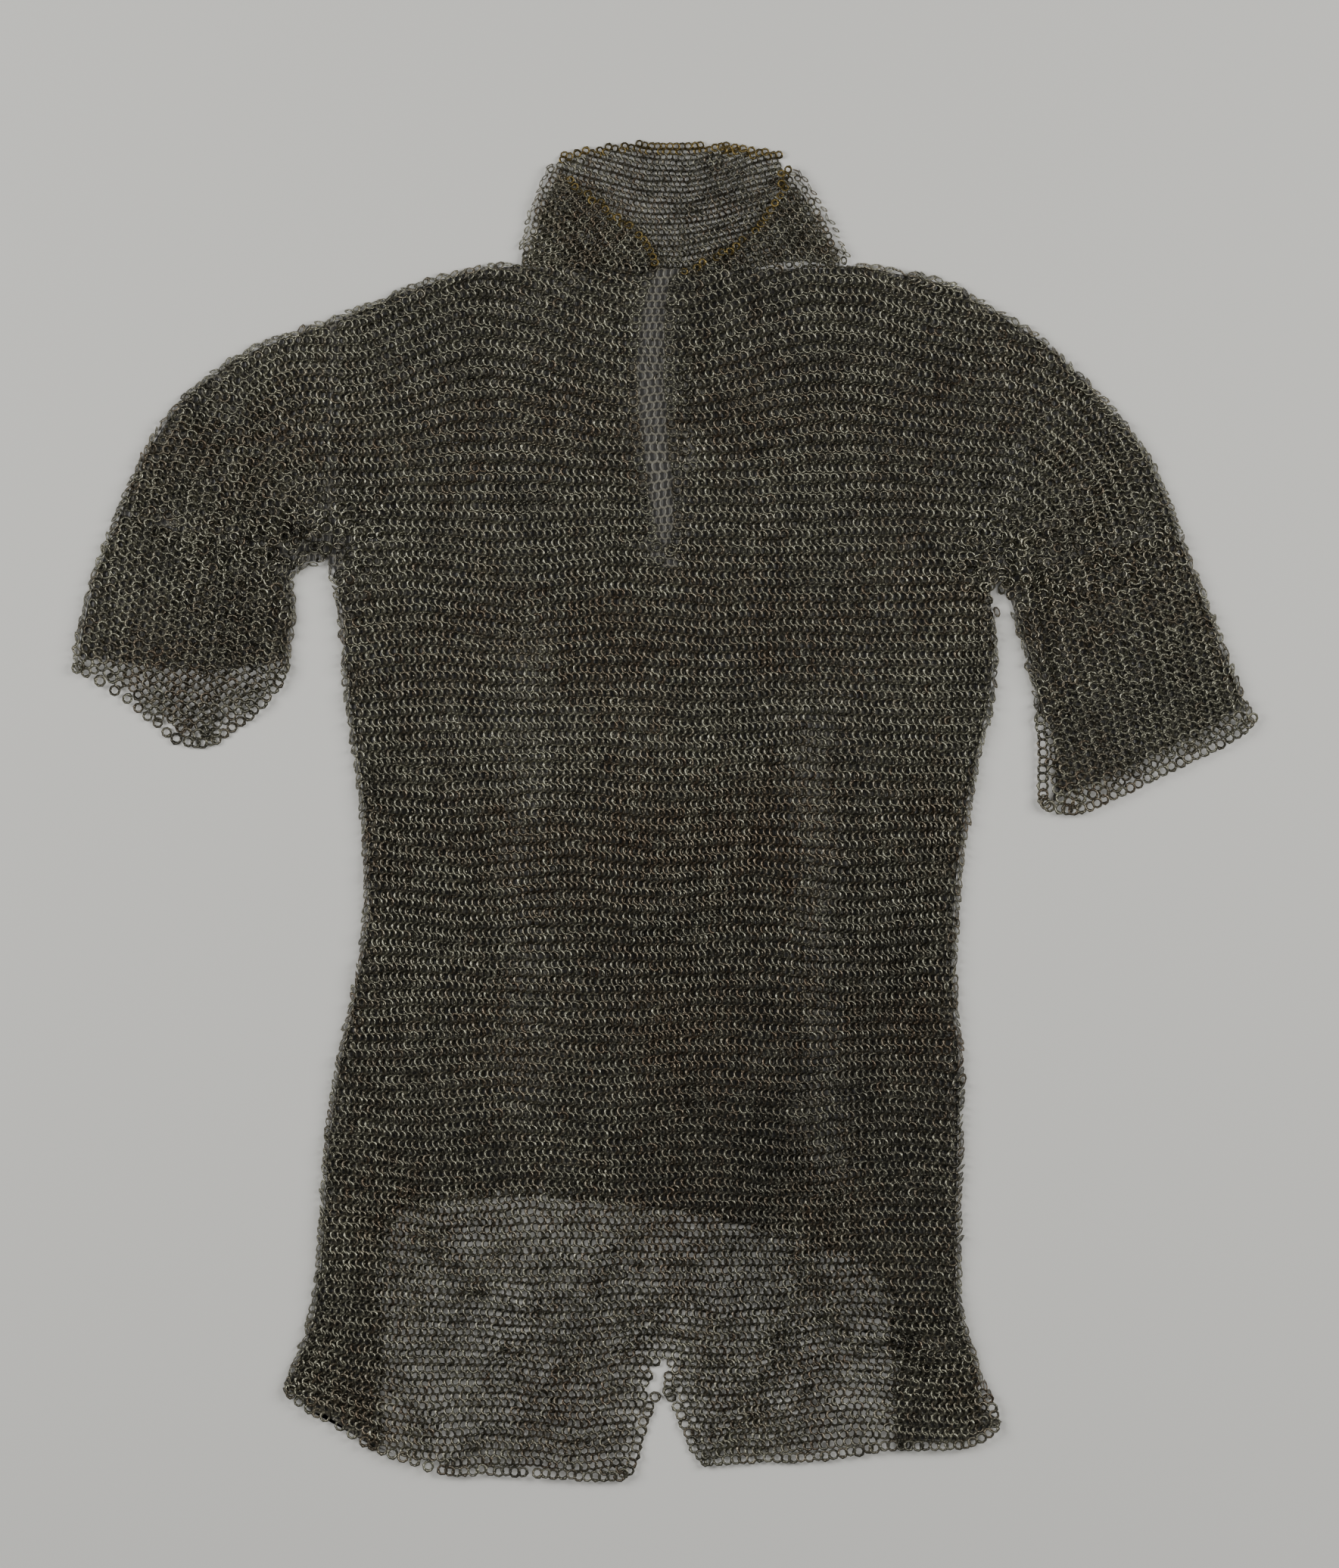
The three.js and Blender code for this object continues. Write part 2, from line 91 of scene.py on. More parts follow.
FOLD_HEIGHT = 4.4                              # middle of a fold's ring, above the surface
FOLD_STAND = math.radians(58)                  # how far a fold's rings stand up
SMALL_ROOM = 1.3                               # as EDGE_ROOM, for the collar's small rings
SHELL_TRIM = 8.0                               # the hidden back's sheet stops short of its hem
SHELL_PRESS = 0.93                             # and is pressed thinner, clear of the rings above
NECK_RISE = 34.0                               # how far the rows rise beside the neck
STRIP_WIDTHS = {"slit": 50.0, "hem": 17.0}     # the strips of the back whose rings show
VIEW_CENTRE = (3.75, 19.8)                     # the camera stands over this point
SOFTBOX = (1.3, 1.9)                           # the size of each softbox, in metres
SOFTBOX_PLACE = (2.0, 0.6, 2.0)                # and where the right one hangs, in metres

FRONT = ["front_left", "front_right", "front_lower"]
SLEEVES = ["sleeve_left_upper", "sleeve_right_upper"]

# Where a layer ends in a cut edge and not in a fold: lowest and highest corners.
CUT_ZONES = [
    (-450, 30, -262, 104),    # left cuff
    (262, -20, 445, 68),      # right cuff
    (-310, -500, 270, -424),  # hem
    (-40, -500, 40, -390),    # skirt slit
    (-80, 466, 88, 500),      # collar top
]
BACK_HEM = (-215, -470, 180, -262)    # the back's arched hem, seen through the front skirt
NECK_SLIT = (-36, 176, 30, 400)       # where the back shows between the breasts

# Soft creases: two ends, half width and height, a ridge where it is positive.
CREASES = [
    (30, 388, 150, 372, 6, 1.5),
    (-60, 390, -120, 360, 8, -1.2),
    (16, 330, 20, 250, 5, -3.0),
    (-100, 120, -110, -200, 26, -1.5),
    (20, 60, 24, -220, 24, 1.4),
    (110, 60, 122, -260, 26, -2.0),
    (-190, 0, -200, -260, 20, 1.4),
    (196, -390, 128, -424, 7, 2.5),
    (205, -372, 116, -404, 7, -2.0),
    (-236, 214, -262, 190, 7, 2.6),
    (-226, 190, -252, 172, 6, -2.6),
    (-212, 176, -232, 150, 7, 2.2),
    (232, 190, 246, 160, 6, 2.6),
    (216, 184, 236, 150, 6, -2.4),
    (262, 176, 274, 100, 4, 2.2),
    (270, 180, 284, 96, 4, -2.2),
    (280, 186, 296, 98, 5, 2.0),
]

# Where the mail is spread apart (positive) or crowded: centre, radius and shift at its edge.
STRETCHES = [
    (66, -352, 42, 2.2),
    (-140, -380, 60, 1.2),
    (2, -392, 14, 1.4),
    (150, -120, 90, -2.6),
    (-60, -400, 50, -1.2),
]

# Where the rings lie in disorder, as at the puckered underarms: centre, radius and amount.
CRUMPLES = [
    (-238, 196, 34, 1.0),
    (-262, 176, 26, 1.0),
    (240, 180, 30, 1.0),
    (-330, 190, 60, 0.35),
    (330, 190, 60, 0.35),
]

# Where the rings are coloured darker (negative) or lighter: centre, radius and amount.
TONE_PATCHES = [
    (150, -190, 110, -0.35),
    (-110, 150, 120, 0.12),
    (20, -330, 220, -0.25),
    (60, 440, 70, -0.15),
    (10, 450, 60, -0.3),
    (-342, 78, 60, -0.35),
    (170, -400, 60, -0.15),
]


class MailSizes(bpy.types.PropertyGroup):
    ring: FloatProperty(
        name="Ring", description="Outer width of an iron ring", default=8.6 * MM, unit="LENGTH")
    wire: FloatProperty(
        name="Wire", description="Width of the flattened wire", default=1.8 * MM, unit="LENGTH")
    pitch: FloatProperty(
        name="Pitch", description="Spacing of rings along a row", default=5.2 * MM, unit="LENGTH")
    row: FloatProperty(
        name="Row", description="Spacing of the trunk's rows", default=5.9 * MM, unit="LENGTH")
    skirt_row: FloatProperty(
        name="Skirt row", description="Spacing of the rows near the hem, which lie closer",
        default=5.3 * MM, unit="LENGTH")
    sleeve_pitch: FloatProperty(
        name="Sleeve pitch", description="Spacing of rings along the sleeves' rows",
        default=6.5 * MM, unit="LENGTH")
    sleeve_row: FloatProperty(
        name="Sleeve row", description="Spacing of the sleeves' rows", default=4.4 * MM,
        unit="LENGTH")
    collar_ring: FloatProperty(
        name="Collar ring", description="Outer width of the collar's smaller rings",
        default=6.4 * MM, unit="LENGTH")
    collar_wire: FloatProperty(
        name="Collar wire", description="Width of the wire of the collar's rings",
        default=1.45 * MM, unit="LENGTH")
    collar_pitch: FloatProperty(
        name="Collar pitch", description="Spacing of rings along the collar's rows",
        default=4.5 * MM, unit="LENGTH")
    collar_row: FloatProperty(
        name="Collar row", description="Spacing of the collar's rows", default=3.95 * MM,
        unit="LENGTH")
    disorder: FloatProperty(
        name="Disorder", description="How unevenly the rings lie", default=1.0, min=0, max=2)
    seed: IntProperty(name="Seed", description="Start of the random draws", default=7)


class MailLooks(bpy.types.PropertyGroup):
    iron: StringProperty(
        name="Iron", description="Colour of the patinated iron wire, sRGB hex", default="#969482")
    iron_dark: StringProperty(
        name="Dark iron", description="Colour of the darkest rings, sRGB hex", default="#58564d")
    rust: StringProperty(
        name="Rust", description="Colour of the rusty rings, sRGB hex", default="#6a5d4e")
    # The hidden layer's wire is darker than the iron above partly as painted shade from the layer that
    # covers it.
    hidden: StringProperty(
        name="Hidden iron", description="Colour of the hidden layer's wire, sRGB hex",
        default="#57544a")
    # The near-black gap colour is painted shade between the hidden layer's rings.
    gap: StringProperty(
        name="Gap", description="Colour of the gaps between the hidden layer's rings, sRGB hex",
        default="#14120e")
    brass: StringProperty(
        name="Brass", description="Colour of the edging's aged brass, sRGB hex", default="#97834f")
    brass_dark: StringProperty(
        name="Dull brass", description="Colour of the dullest brass rings, sRGB hex",
        default="#4f4731")
    floor: StringProperty(
        name="Floor", description="Colour of the paper under the mail, sRGB hex", default="#b8b7b2")


class StageSizes(bpy.types.PropertyGroup):
    camera_height: FloatProperty(
        name="Camera height", description="Height of the camera above the floor", default=6.0,
        unit="LENGTH")
    framed_height: FloatProperty(
        name="Framed height", description="Length of floor that the picture covers from top to foot",
        default=1.1396, unit="LENGTH")
    light: FloatProperty(
        name="Light", description="Power of the two large softboxes together", default=155, unit="POWER")
    fill: FloatProperty(
        name="Fill", description="Strength of the room's even light", default=0.29)


# ---- Tools -----------------------------------------------------------------------------------


def settings():
    scene = bpy.context.scene
    return scene.hauberk_mail, scene.hauberk_looks, scene.hauberk_stage


def linear(hex_colour):
    """The linear RGBA of an sRGB hex colour."""
    channels = [int(hex_colour[i:i + 2], 16) / 255 for i in (1, 3, 5)]
    return [c / 12.92 if c <= 0.04045 else ((c + 0.055) / 1.055) ** 2.4 for c in channels] + [1.0]


def node(tree, kind, settings=None, **inputs):
    """Adds a node, sets its attributes, and sets or links its inputs by name or index."""
    made = tree.nodes.new(kind)
    for name, value in (settings or {}).items():
        setattr(made, name, value)
    for name, value in inputs.items():
        key = int(name[1:]) if name[0] == "i" and name[1:].isdigit() else name.replace("_", " ")
        socket = made.inputs[key]
        if isinstance(value, bpy.types.NodeSocket):
            tree.links.new(value, socket)
        else:
            socket.default_value = value
    return made


def drift(x, y, size, seed):
    """A slow seeded waver, mostly between -1 and 1, whose waves are about size long."""
    rng = np.random.default_rng(seed)
    total = np.zeros_like(x, dtype=float)
    waves = 6
    for _ in range(waves):
        way = rng.uniform(0, 2 * math.pi)
        turn = 2 * math.pi / (size * rng.uniform(0.7, 1.6))
        total += np.sin(turn * (x * math.cos(way) + y * math.sin(way)) + rng.uniform(0, 2 * math.pi))
    return total * math.sqrt(2 / waves) / 1.5


def unit(v):
    return v / np.maximum(np.linalg.norm(v, axis=-1, keepdims=True), 1e-12)


# ---- The solids, read from above -------------------------------------------------------------

UPPER_NODES = [
    "front_left", "front_right", "front_lower", "sleeve_left_upper", "sleeve_right_upper",
    "collar_left", "collar_right", "collar_edge_left", "collar_edge_right",
]
LOWER_NODES = [
    "back_panel", "collar_back", "collar_edge_back", "sleeve_left_under", "sleeve_right_under",
]


class Layer:
    """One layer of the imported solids: the node and the height under any plan point, in mm."""

    def __init__(self, names):
        self.names = names
        points, faces, owners = [], [], []
        for i, name in enumerate(names):
            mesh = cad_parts[name].data
            base = len(points)
            points += [v.co / MM for v in mesh.vertices]
            faces += [[base + k for k in p.vertices] for p in mesh.polygons]
            owners += [i] * len(mesh.polygons)
        self.tree = BVHTree.FromPolygons(points, faces)
        self.owners = owners
        low, high = np.min(points, axis=0), np.max(points, axis=0)
        self.x = np.arange(low[0] - 3 * RELIEF_STEP, high[0] + 3 * RELIEF_STEP, RELIEF_STEP)
        self.y = np.arange(low[1] - 3 * RELIEF_STEP, high[1] + 3 * RELIEF_STEP, RELIEF_STEP)
        self.owner = np.full((len(self.y), len(self.x)), -1)
        height = np.zeros(self.owner.shape)
        for i, y in enumerate(self.y):
            for k, x in enumerate(self.x):
                owner, z = self.look(x, y)
                self.owner[i, k] = owner
                height[i, k] = z
        self.height = self.filled(height)
        slope_y, slope_x = np.gradient(self.height, RELIEF_STEP)
        self.slope_x, self.slope_y = slope_x, slope_y
        for axis in (0, 1):
            behind, ahead = np.roll(self.owner, 1, axis), np.roll(self.owner, -1, axis)
            seam = (self.owner < 0) & (behind >= 0) & (ahead >= 0)
            self.owner[seam] = behind[seam]

    def look(self, x, y):
        """The index of the node seen from above at a point, or -1, and its height."""
        place, _, face, _ = self.tree.ray_cast(Vector((x, y, 100)), Vector((0, 0, -1)))
        return (-1, 0.0) if face is None else (self.owners[face], place.z)

    def filled(self, height):
        """The heights spread past the outline and smoothed, so that slopes are soft."""
        weight = (self.owner >= 0).astype(float)
        height = height * weight
        for _ in range(6):
            height, weight = self.blur(height), self.blur(weight)
        return height / np.maximum(weight, 1e-6)

    @staticmethod
    def blur(values):
        padded = np.pad(values, 1, mode="edge")
        across = (padded[:, :-2] + 2 * padded[:, 1:-1] + padded[:, 2:]) / 4
        return (across[:-2] + 2 * across[1:-1] + across[2:]) / 4

    def sample(self, values, x, y):
        """Values of a grid at plan points, by the nearest point of it."""
        k = np.clip(np.rint((x - self.x[0]) / RELIEF_STEP).astype(int), 0, len(self.x) - 1)
        i = np.clip(np.rint((y - self.y[0]) / RELIEF_STEP).astype(int), 0, len(self.y) - 1)
        return values[i, k]

    def owner_at(self, x, y):
        return self.sample(self.owner, x, y)

    def surface(self, x, y):
        """Height and unit normal at plan points, with the creases added."""
        z = self.sample(self.height, x, y).copy()
        slope_x, slope_y = self.sample(self.slope_x, x, y).copy(), self.sample(self.slope_y, x, y).copy()
        for x0, y0, x1, y1, width, rise in CREASES:
            along = np.array([x1 - x0, y1 - y0])
            length = np.hypot(*along)
            t = ((x - x0) * along[0] + (y - y0) * along[1]) / length ** 2
            near_x, near_y = x0 + np.clip(t, 0, 1) * along[0], y0 + np.clip(t, 0, 1) * along[1]
            far_x, far_y = x - near_x, y - near_y
            bell = rise * np.exp(-(far_x ** 2 + far_y ** 2) / width ** 2)
            z += bell
            slope_x -= 2 * far_x / width ** 2 * bell
            slope_y -= 2 * far_y / width ** 2 * bell
        return z, unit(np.stack([-slope_x, -slope_y, np.ones_like(x)], axis=-1))

    def index(self, names):
        return [self.names.index(name) for name in names]

    def edge_points(self):
        """Centres of the grid squares just outside the layer, and whether each is a cut edge."""
        inside = self.owner >= 0
        near = np.zeros_like(inside)
        near[1:-1, 1:-1] = inside[:-2, 1:-1] | inside[2:, 1:-1] | inside[1:-1, :-2] | inside[1:-1, 2:]
        rows, columns = np.nonzero(near & ~inside)
        x, y = self.x[columns], self.y[rows]
        cut = np.zeros(len(x), bool)
        for x0, y0, x1, y1 in CUT_ZONES + [BACK_HEM]:
            cut |= (x > x0) & (x < x1) & (y > y0) & (y < y1)
        if self.names is UPPER_NODES:
            cut |= lower_layer().owner_at(x, y) >= 0
        return x, y, cut


@lru_cache(None)
def upper_layer():
    return Layer(UPPER_NODES)


@lru_cache(None)
def lower_layer():
    return Layer(LOWER_NODES)


@lru_cache(None)
def edge_finder(which):
    layer = upper_layer() if which == "upper" else lower_layer()
    x, y, cut = layer.edge_points()
    tree = KDTree(len(x))
    for i in range(len(x)):
        tree.insert((x[i], y[i], 0), i)
    tree.balance()
    return tree, cut


def edge_of(which, x, y):
    """Distance to the nearest edge, the way out to it, and whether it is a cut one."""
    tree, cut = edge_finder(which)
    far, way, is_cut = np.zeros(len(x)), np.zeros((len(x), 3)), np.zeros(len(x), bool)
    for i in range(len(x)):
        place, index, distance = tree.find((x[i], y[i], 0))
        far[i] = distance - RELIEF_STEP / 2
        way[i] = (place.x - x[i], place.y - y[i], 0)
        is_cut[i] = cut[index]
    return far, unit(way), is_cut


# ---- The weave -------------------------------------------------------------------------------


class Lattice:
    """Places of rings in plan: x, y, the row's direction, which way it leans and its pitch."""

    def __init__(self):
        self.places = []

    def add(self, x, y, way, side, pitch):
        self.places.append((x, y, way[0], way[1], side, pitch))

    def columns(self):
        return np.array(self.places).T


def eased(t):
    """From 0 to 1, with a soft start and a soft end."""
    t = np.clip(t, 0, 1)
    return t * t * (3 - 2 * t)


def row_levels(sizes):
    """The level of every row of the trunk, before the skirt is bent to its hem."""
    wide, close = sizes.row / MM, sizes.skirt_row / MM
    levels, y = [], TOP_ROW
    while y > HEM_FOOT - 4:
        levels.append(y)
        y -= wide + (close - wide) * eased((-170 - y) / 120)
    return levels


@lru_cache(None)
def trunk_shape():
    """The trunk's sides at each level and its hem under each column, both smoothed."""
    layer = upper_layer()
    front = np.isin(layer.owner, layer.index(FRONT))
    sides, hem = [], []
    for i, y in enumerate(layer.y):
        inside = np.nonzero(front[i])[0]
        if SIDES[0] < y < SIDES[1]:
            sides.append((y, layer.x[inside[0]], layer.x[inside[-1]]))
    for k, x in enumerate(layer.x):
        inside = np.nonzero(front[:, k])[0]
        if len(inside) and abs(x) > SLIT_HALF:
            hem.append((x, layer.y[inside[0]]))
    sides, hem = np.array(sides), np.array(hem)
    for table, reach in ((sides, 6), (hem, 12)):
        for k in range(1, table.shape[1]):
            padded = np.pad(table[:, k], reach, mode="edge")
            table[:, k] = np.convolve(padded, np.ones(2 * reach + 1) / (2 * reach + 1), mode="valid")
    return sides, hem


def trunk_point(level, part):
    """The plan point that lies a part of the way along a row, from its left end to its right."""
    sides, hem = trunk_shape()
    down = max(0.0, (SKIRT_TOP - level) / (SKIRT_TOP - HEM_FOOT)) ** 1.4
    x, y = 0.0, level
    for _ in range(3):
        left, right = np.interp(y, sides[:, 0], sides[:, 1]), np.interp(y, sides[:, 0], sides[:, 2])
        x = left + 1.0 + (right - left - 2.0) * part
        y = level + down * (0.62 * (np.interp(x, hem[:, 0], hem[:, 1]) - HEM_FOOT) + 2.0)
    return x, y


def trunk_lattice(sizes):
    """Level rows across the trunk, all with the same number of rings, so that they draw together
    at the waist and spread towards the hem, which the last rows follow."""
    lattice = Lattice()
    sides, _ = trunk_shape()
    count = round((sides[-1, 2] - sides[-1, 1]) / (sizes.pitch / MM))
    for j, level in enumerate(row_levels(sizes)):
        for i in range(count):
            part = (i + (0.25 if j % 2 else 0.75)) / count
            x, y = trunk_point(level, part)
            x2, y2 = trunk_point(level, part + 1 / count)
            lattice.add(x, y, (x2 - x, y2 - y), 1 if j % 2 else -1, math.hypot(x2 - x, y2 - y))
    return lattice


class Fan:
    """The rows of one shoulder and sleeve: each goes on from a row of the trunk, turns about the
    underarm and runs down the sleeve. Along a row, a place is an angle before the sleeve when it
    is below 0, and past that the distance down the sleeve."""

    def __init__(self, sizes, name):
        self.mirror = 1 if name == "right" else -1
        self.pivot = UNDERARM[name]
        self.hang = math.radians(SLEEVE_HANG[name])
        self.turn = math.pi / 2 - self.hang
        self.closer = sizes.sleeve_row / sizes.row
        self.pitches = sizes.pitch / MM, sizes.sleeve_pitch / MM

    def blend(self, along):
        return eased((along + self.turn) / self.turn * 0.9)

    def reach(self, start, along):
        return start * (1 + (self.closer - 1) * self.blend(along))

    def pitch(self, along):
        return self.pitches[0] + (self.pitches[1] - self.pitches[0]) * self.blend(along)

    def place(self, start, along):
        reach = self.reach(start, along)
        angle = self.hang - min(along, 0)
        x, y = reach * math.cos(angle), reach * math.sin(angle)
        if along > 0:
            x, y = x + along * math.sin(self.hang), y - along * math.cos(self.hang)
        return self.pivot[0] + self.mirror * x, self.pivot[1] + y

    def width(self, start, a, b):
        (ax, ay), (bx, by) = self.place(start, a), self.place(start, b)
        return math.hypot(bx - ax, by - ay)


def knit(places, width, rng):
    """The next row's places: halfway between this row's, one more in a wide gap and one fewer
    in a narrow one. width gives a gap as a number of pitches."""
    made = []
    for a, b in zip(places[:-1], places[1:]):
        gap = width(a, b)
        if gap > rng.uniform(1.3, 1.5):
            made += [a + (b - a) * 0.3, a + (b - a) * 0.72]
        elif gap > rng.uniform(0.55, 0.68):
            made.append((a + b) / 2)
    return made


def sleeve_lattice(sizes, name):
    """The rows of a fan, knitted outwards from the underarm."""
    fan = Fan(sizes, name)
    rng = np.random.default_rng(sizes.seed + (11 if name == "right" else 12))
    lattice = Lattice()
    places = None
    stop = 200.0
    levels = [(j, y - fan.pivot[1]) for j, y in enumerate(row_levels(sizes))]
    for j, start in reversed([(j, start) for j, start in levels if start > 3.0]):
        before = (0.25 if (j % 2 == 1) == (fan.mirror > 0) else 0.75) * fan.pitches[0]
        first = before / start - fan.turn
        if places is None:
            places, along = [], first
            while along < stop:
                places.append(along)
                step = fan.pitch(along)
                along += step / fan.reach(start, along) if along < -0.1 else step
        else:
            places = knit(places, lambda a, b: fan.width(start, a, b) / fan.pitch(a), rng)
            while places and places[0] < first + 0.5 * fan.pitches[0] / start:
                places = places[1:]
            places = [first] + places
            while places[-1] < stop:
                places.append(places[-1] + fan.pitches[1])
        for along in places:
            x, y = fan.place(start, along)
            x2, y2 = fan.place(start, along + 0.01)
            lattice.add(x, y, (x2 - x, y2 - y), fan.mirror * (1 if j % 2 else -1), fan.pitch(along))
    return lattice


def edge_lattice(path, pitch, row, rows, start=0.0, overrun=30.0):
    """Rows that follow a path on its right-hand side, the first one start away from it."""
    path = np.array(path, float)
    steps = np.hypot(*np.diff(path, axis=0).T)
    along = np.concatenate([[0], np.cumsum(steps)])
    lattice = Lattice()
    fine = np.arange(-overrun, along[-1] + overrun, 1.0)
    way0, way1 = unit(path[1] - path[0]), unit(path[-1] - path[-2])
    curve = np.stack([np.interp(fine, along, path[:, k]) for k in (0, 1)], axis=1)
    before, after = fine < 0, fine > along[-1]
    curve[before] = path[0] + fine[before, None] * way0
    curve[after] = path[-1] + (fine[after, None] - along[-1]) * way1
    padded = np.pad(curve, ((12, 12), (0, 0)), mode="edge")
    smooth = np.stack([np.convolve(padded[:, k], np.ones(25) / 25, mode="valid") for k in (0, 1)], axis=1)
    smooth[:13], smooth[-13:] = curve[:13], curve[-13:]
    tangent = unit(np.gradient(smooth, axis=0))
    normal = np.stack([tangent[:, 1], -tangent[:, 0]], axis=1)
    count = int((along[-1] + 2 * overrun) / pitch)
    for j in range(rows):
        line = smooth + normal * (start + j * row)
        length = np.concatenate([[0], np.cumsum(np.hypot(*np.diff(line, axis=0).T))])
        for i in range(count):
            s = (i + (0.25 if j % 2 else 0.75)) / count * length[-1]
            x, y = np.interp(s, length, line[:, 0]), np.interp(s, length, line[:, 1])
            way = (np.interp(s, length, tangent[:, 0]), np.interp(s, length, tangent[:, 1]))
            lattice.add(x, y, way, 1 if j % 2 else -1, length[-1] / count)
    return lattice


def pulled(x, y, sizes):
    """Moves plan points as the mail is pulled about: up beside the neck, in slow wavers and fine
    ones, and at the stretches."""
    much = sizes.disorder
    beside = np.abs(x - 2)
    rise = NECK_RISE * eased((beside - 8) / 110) * (1 - eased((beside - 130) / 110))
    moved_y = y + rise * eased((y - 190) / 200)
    moved_x = x + much * (2.0 * drift(x, y, 170, 1) + 0.6 * drift(x, y, 34, 2))
    moved_y = moved_y + much * (2.2 * drift(x, y, 150, 3) + 0.6 * drift(x, y, 30, 4))
    for cx, cy, radius, shift in STRETCHES:
        dx, dy = x - cx, y - cy
        far = np.hypot(dx, dy) / radius
        push = shift * 1.6 * far * np.exp(-far ** 2)
        moved_x += push * dx / np.maximum(far * radius, 1)
        moved_y += push * dy / np.maximum(far * radius, 1)
    return moved_x, moved_y


class Rings:
    """Rings ready to be made: place, turn, size, tone and rust of each, and its node's index."""

    def __init__(self, count):
        self.place = np.zeros((count, 3))
        self.turn = np.zeros((count, 3, 3))
        self.size = np.ones(count)
        self.tone = np.zeros(count)
        self.rust = np.zeros(count)
        self.owner = np.zeros(count, int)

    def pick(self, chosen):
        part = Rings(0)
        for name in vars(self):
            setattr(part, name, getattr(self, name)[chosen])
        return part

    @staticmethod
    def together(parts):
        whole = Rings(0)
        for name in vars(whole):
            setattr(whole, name, np.concatenate([getattr(p, name) for p in parts]))
        return whole


def turned(axes, lean, tip, spin):
    """Each set of axes turned by a lean about its second, a tip about its first and a spin."""
    zero, one = np.zeros_like(lean), np.ones_like(lean)
    c, s = np.cos(lean), np.sin(lean)
    about_y = np.stack([c, zero, s, zero, one, zero, -s, zero, c], -1).reshape(-1, 3, 3)
    c, s = np.cos(tip), np.sin(tip)
    about_x = np.stack([one, zero, zero, zero, c, -s, zero, s, c], -1).reshape(-1, 3, 3)
    c, s = np.cos(spin), np.sin(spin)
    about_z = np.stack([c, -s, zero, s, c, zero, zero, zero, one], -1).reshape(-1, 3, 3)
    return axes @ about_y @ about_x @ about_z


def tilted_out(turn, way, angle):
    """Turns every ring over towards a level direction."""
    axis = np.stack([-way[:, 1], way[:, 0], np.zeros(len(way))], -1)
    c, s = np.cos(angle)[:, None, None], np.sin(angle)[:, None, None]
    cross = np.zeros((len(way), 3, 3))
    cross[:, 0, 2], cross[:, 2, 0] = axis[:, 1], -axis[:, 1]
    cross[:, 1, 2], cross[:, 2, 1] = -axis[:, 0], axis[:, 0]
    outer = axis[:, :, None] * axis[:, None, :]
    about = c * np.eye(3) + s * cross + (1 - c) * outer
    return about @ turn


def wire_of(sizes, small):
    """Outer width of a ring and width of its wire, for the collar's small rings or the others."""
    return (sizes.collar_ring, sizes.collar_wire) if small else (sizes.ring, sizes.wire)


def crumpled(x, y):
    """How disordered the mail is at plan points, from 0 upwards."""
    total = np.zeros_like(x)
    for cx, cy, radius, amount in CRUMPLES:
        total += amount * np.exp(-((x - cx) ** 2 + (y - cy) ** 2) / radius ** 2)
    return total


def laid(lattice, which, owners, sizes, seed, small=False, within=None):
    """Rings on a lattice, laid on a layer's nodes with these names: the collar's small ones or
    the others. within keeps only those so near an edge."""
    layer = upper_layer() if which == "upper" else lower_layer()
    rng = np.random.default_rng(sizes.seed * 100 + seed)
    x, y, way_x, way_y, side, pitch = lattice.columns()
    step = 1 / np.hypot(way_x, way_y)
    ahead = pulled(x + way_x * step, y + way_y * step, sizes)
    x, y = pulled(x, y, sizes)
    way = unit(np.stack([ahead[0] - x, ahead[1] - y, np.zeros(len(x))], axis=1))
    mess = crumpled(x, y)
    much = sizes.disorder * (1 + 3 * mess)
    ring, wire = (v / MM for v in wire_of(sizes, small))
    x = x + rng.normal(0, 0.035, len(x)) * much * ring
    y = y + rng.normal(0, 0.035, len(x)) * much * ring
    draws = rng.normal(0, 1, (7, len(x)))
    owner = layer.owner_at(x, y)
    keep = np.isin(owner, layer.index(owners))
    far, out, cut = np.full(len(x), 99.0), np.zeros((len(x), 3)), np.zeros(len(x), bool)
    far[keep], out[keep], cut[keep] = edge_of(which, x[keep], y[keep])
    keep &= far > np.where(cut, SMALL_ROOM if small else EDGE_ROOM, FOLD_ROOM)
    if within is not None:
        keep &= far < within
    x, y, way, side, pitch, owner = x[keep], y[keep], way[keep], side[keep], pitch[keep], owner[keep]
    far, out, cut, mess, much = far[keep], out[keep], cut[keep], mess[keep], much[keep]
    draws = draws[:, keep]
    rings = Rings(len(x))
    z, normal = layer.surface(x, y)
    along = unit(way - normal * np.sum(way * normal, axis=1, keepdims=True))
    across = np.cross(normal, along)
    axes = np.stack([along, across, normal], axis=-1)
    lean = np.arccos(np.clip((pitch + LEAN_WIRES * wire) / (ring - wire), *LEAN_COSINES))
    lean = side * lean * (1 + 0.22 * much * draws[0] + 0.2 * drift(x, y, 60, 21))
    tip = (0.09 * draws[1] + 0.12 * drift(x, y, 22, 22)) * much
    spin = np.where(side > 0, math.pi, 0.0) + 0.9 * draws[2]
    turn = turned(axes, lean, tip, spin)
    roll = np.where(cut, 0.0, np.clip((10.5 - far) / 7, 0, 1) * math.radians(50))
    turn = tilted_out(turn, out, roll)
    about = rng.uniform(0, 2 * math.pi, len(x))
    swirl = np.stack([np.cos(about), np.sin(about), np.zeros(len(x))], -1)
    rings.turn = tilted_out(turn, swirl, np.minimum(mess, 1.2) * np.abs(draws[5]) * 0.5)
    lift = ring / 2 * np.sin(np.abs(lean)) + wire * 0.3
    z = z - RING_DEPTH - np.clip((8 - far) / 8, 0, 1) ** 2 * 1.2 * ~cut
    z = np.maximum(z + mess * 0.8 * draws[6], np.minimum(lift, 2.6))
    rings.place = np.stack([x, y, z + 0.2 * draws[3]], axis=-1)
    rings.size = 1 + 0.04 * much * draws[4]
    rings.owner = owner
    rings.tone, rings.rust = tones(x, y, rng)
    return rings


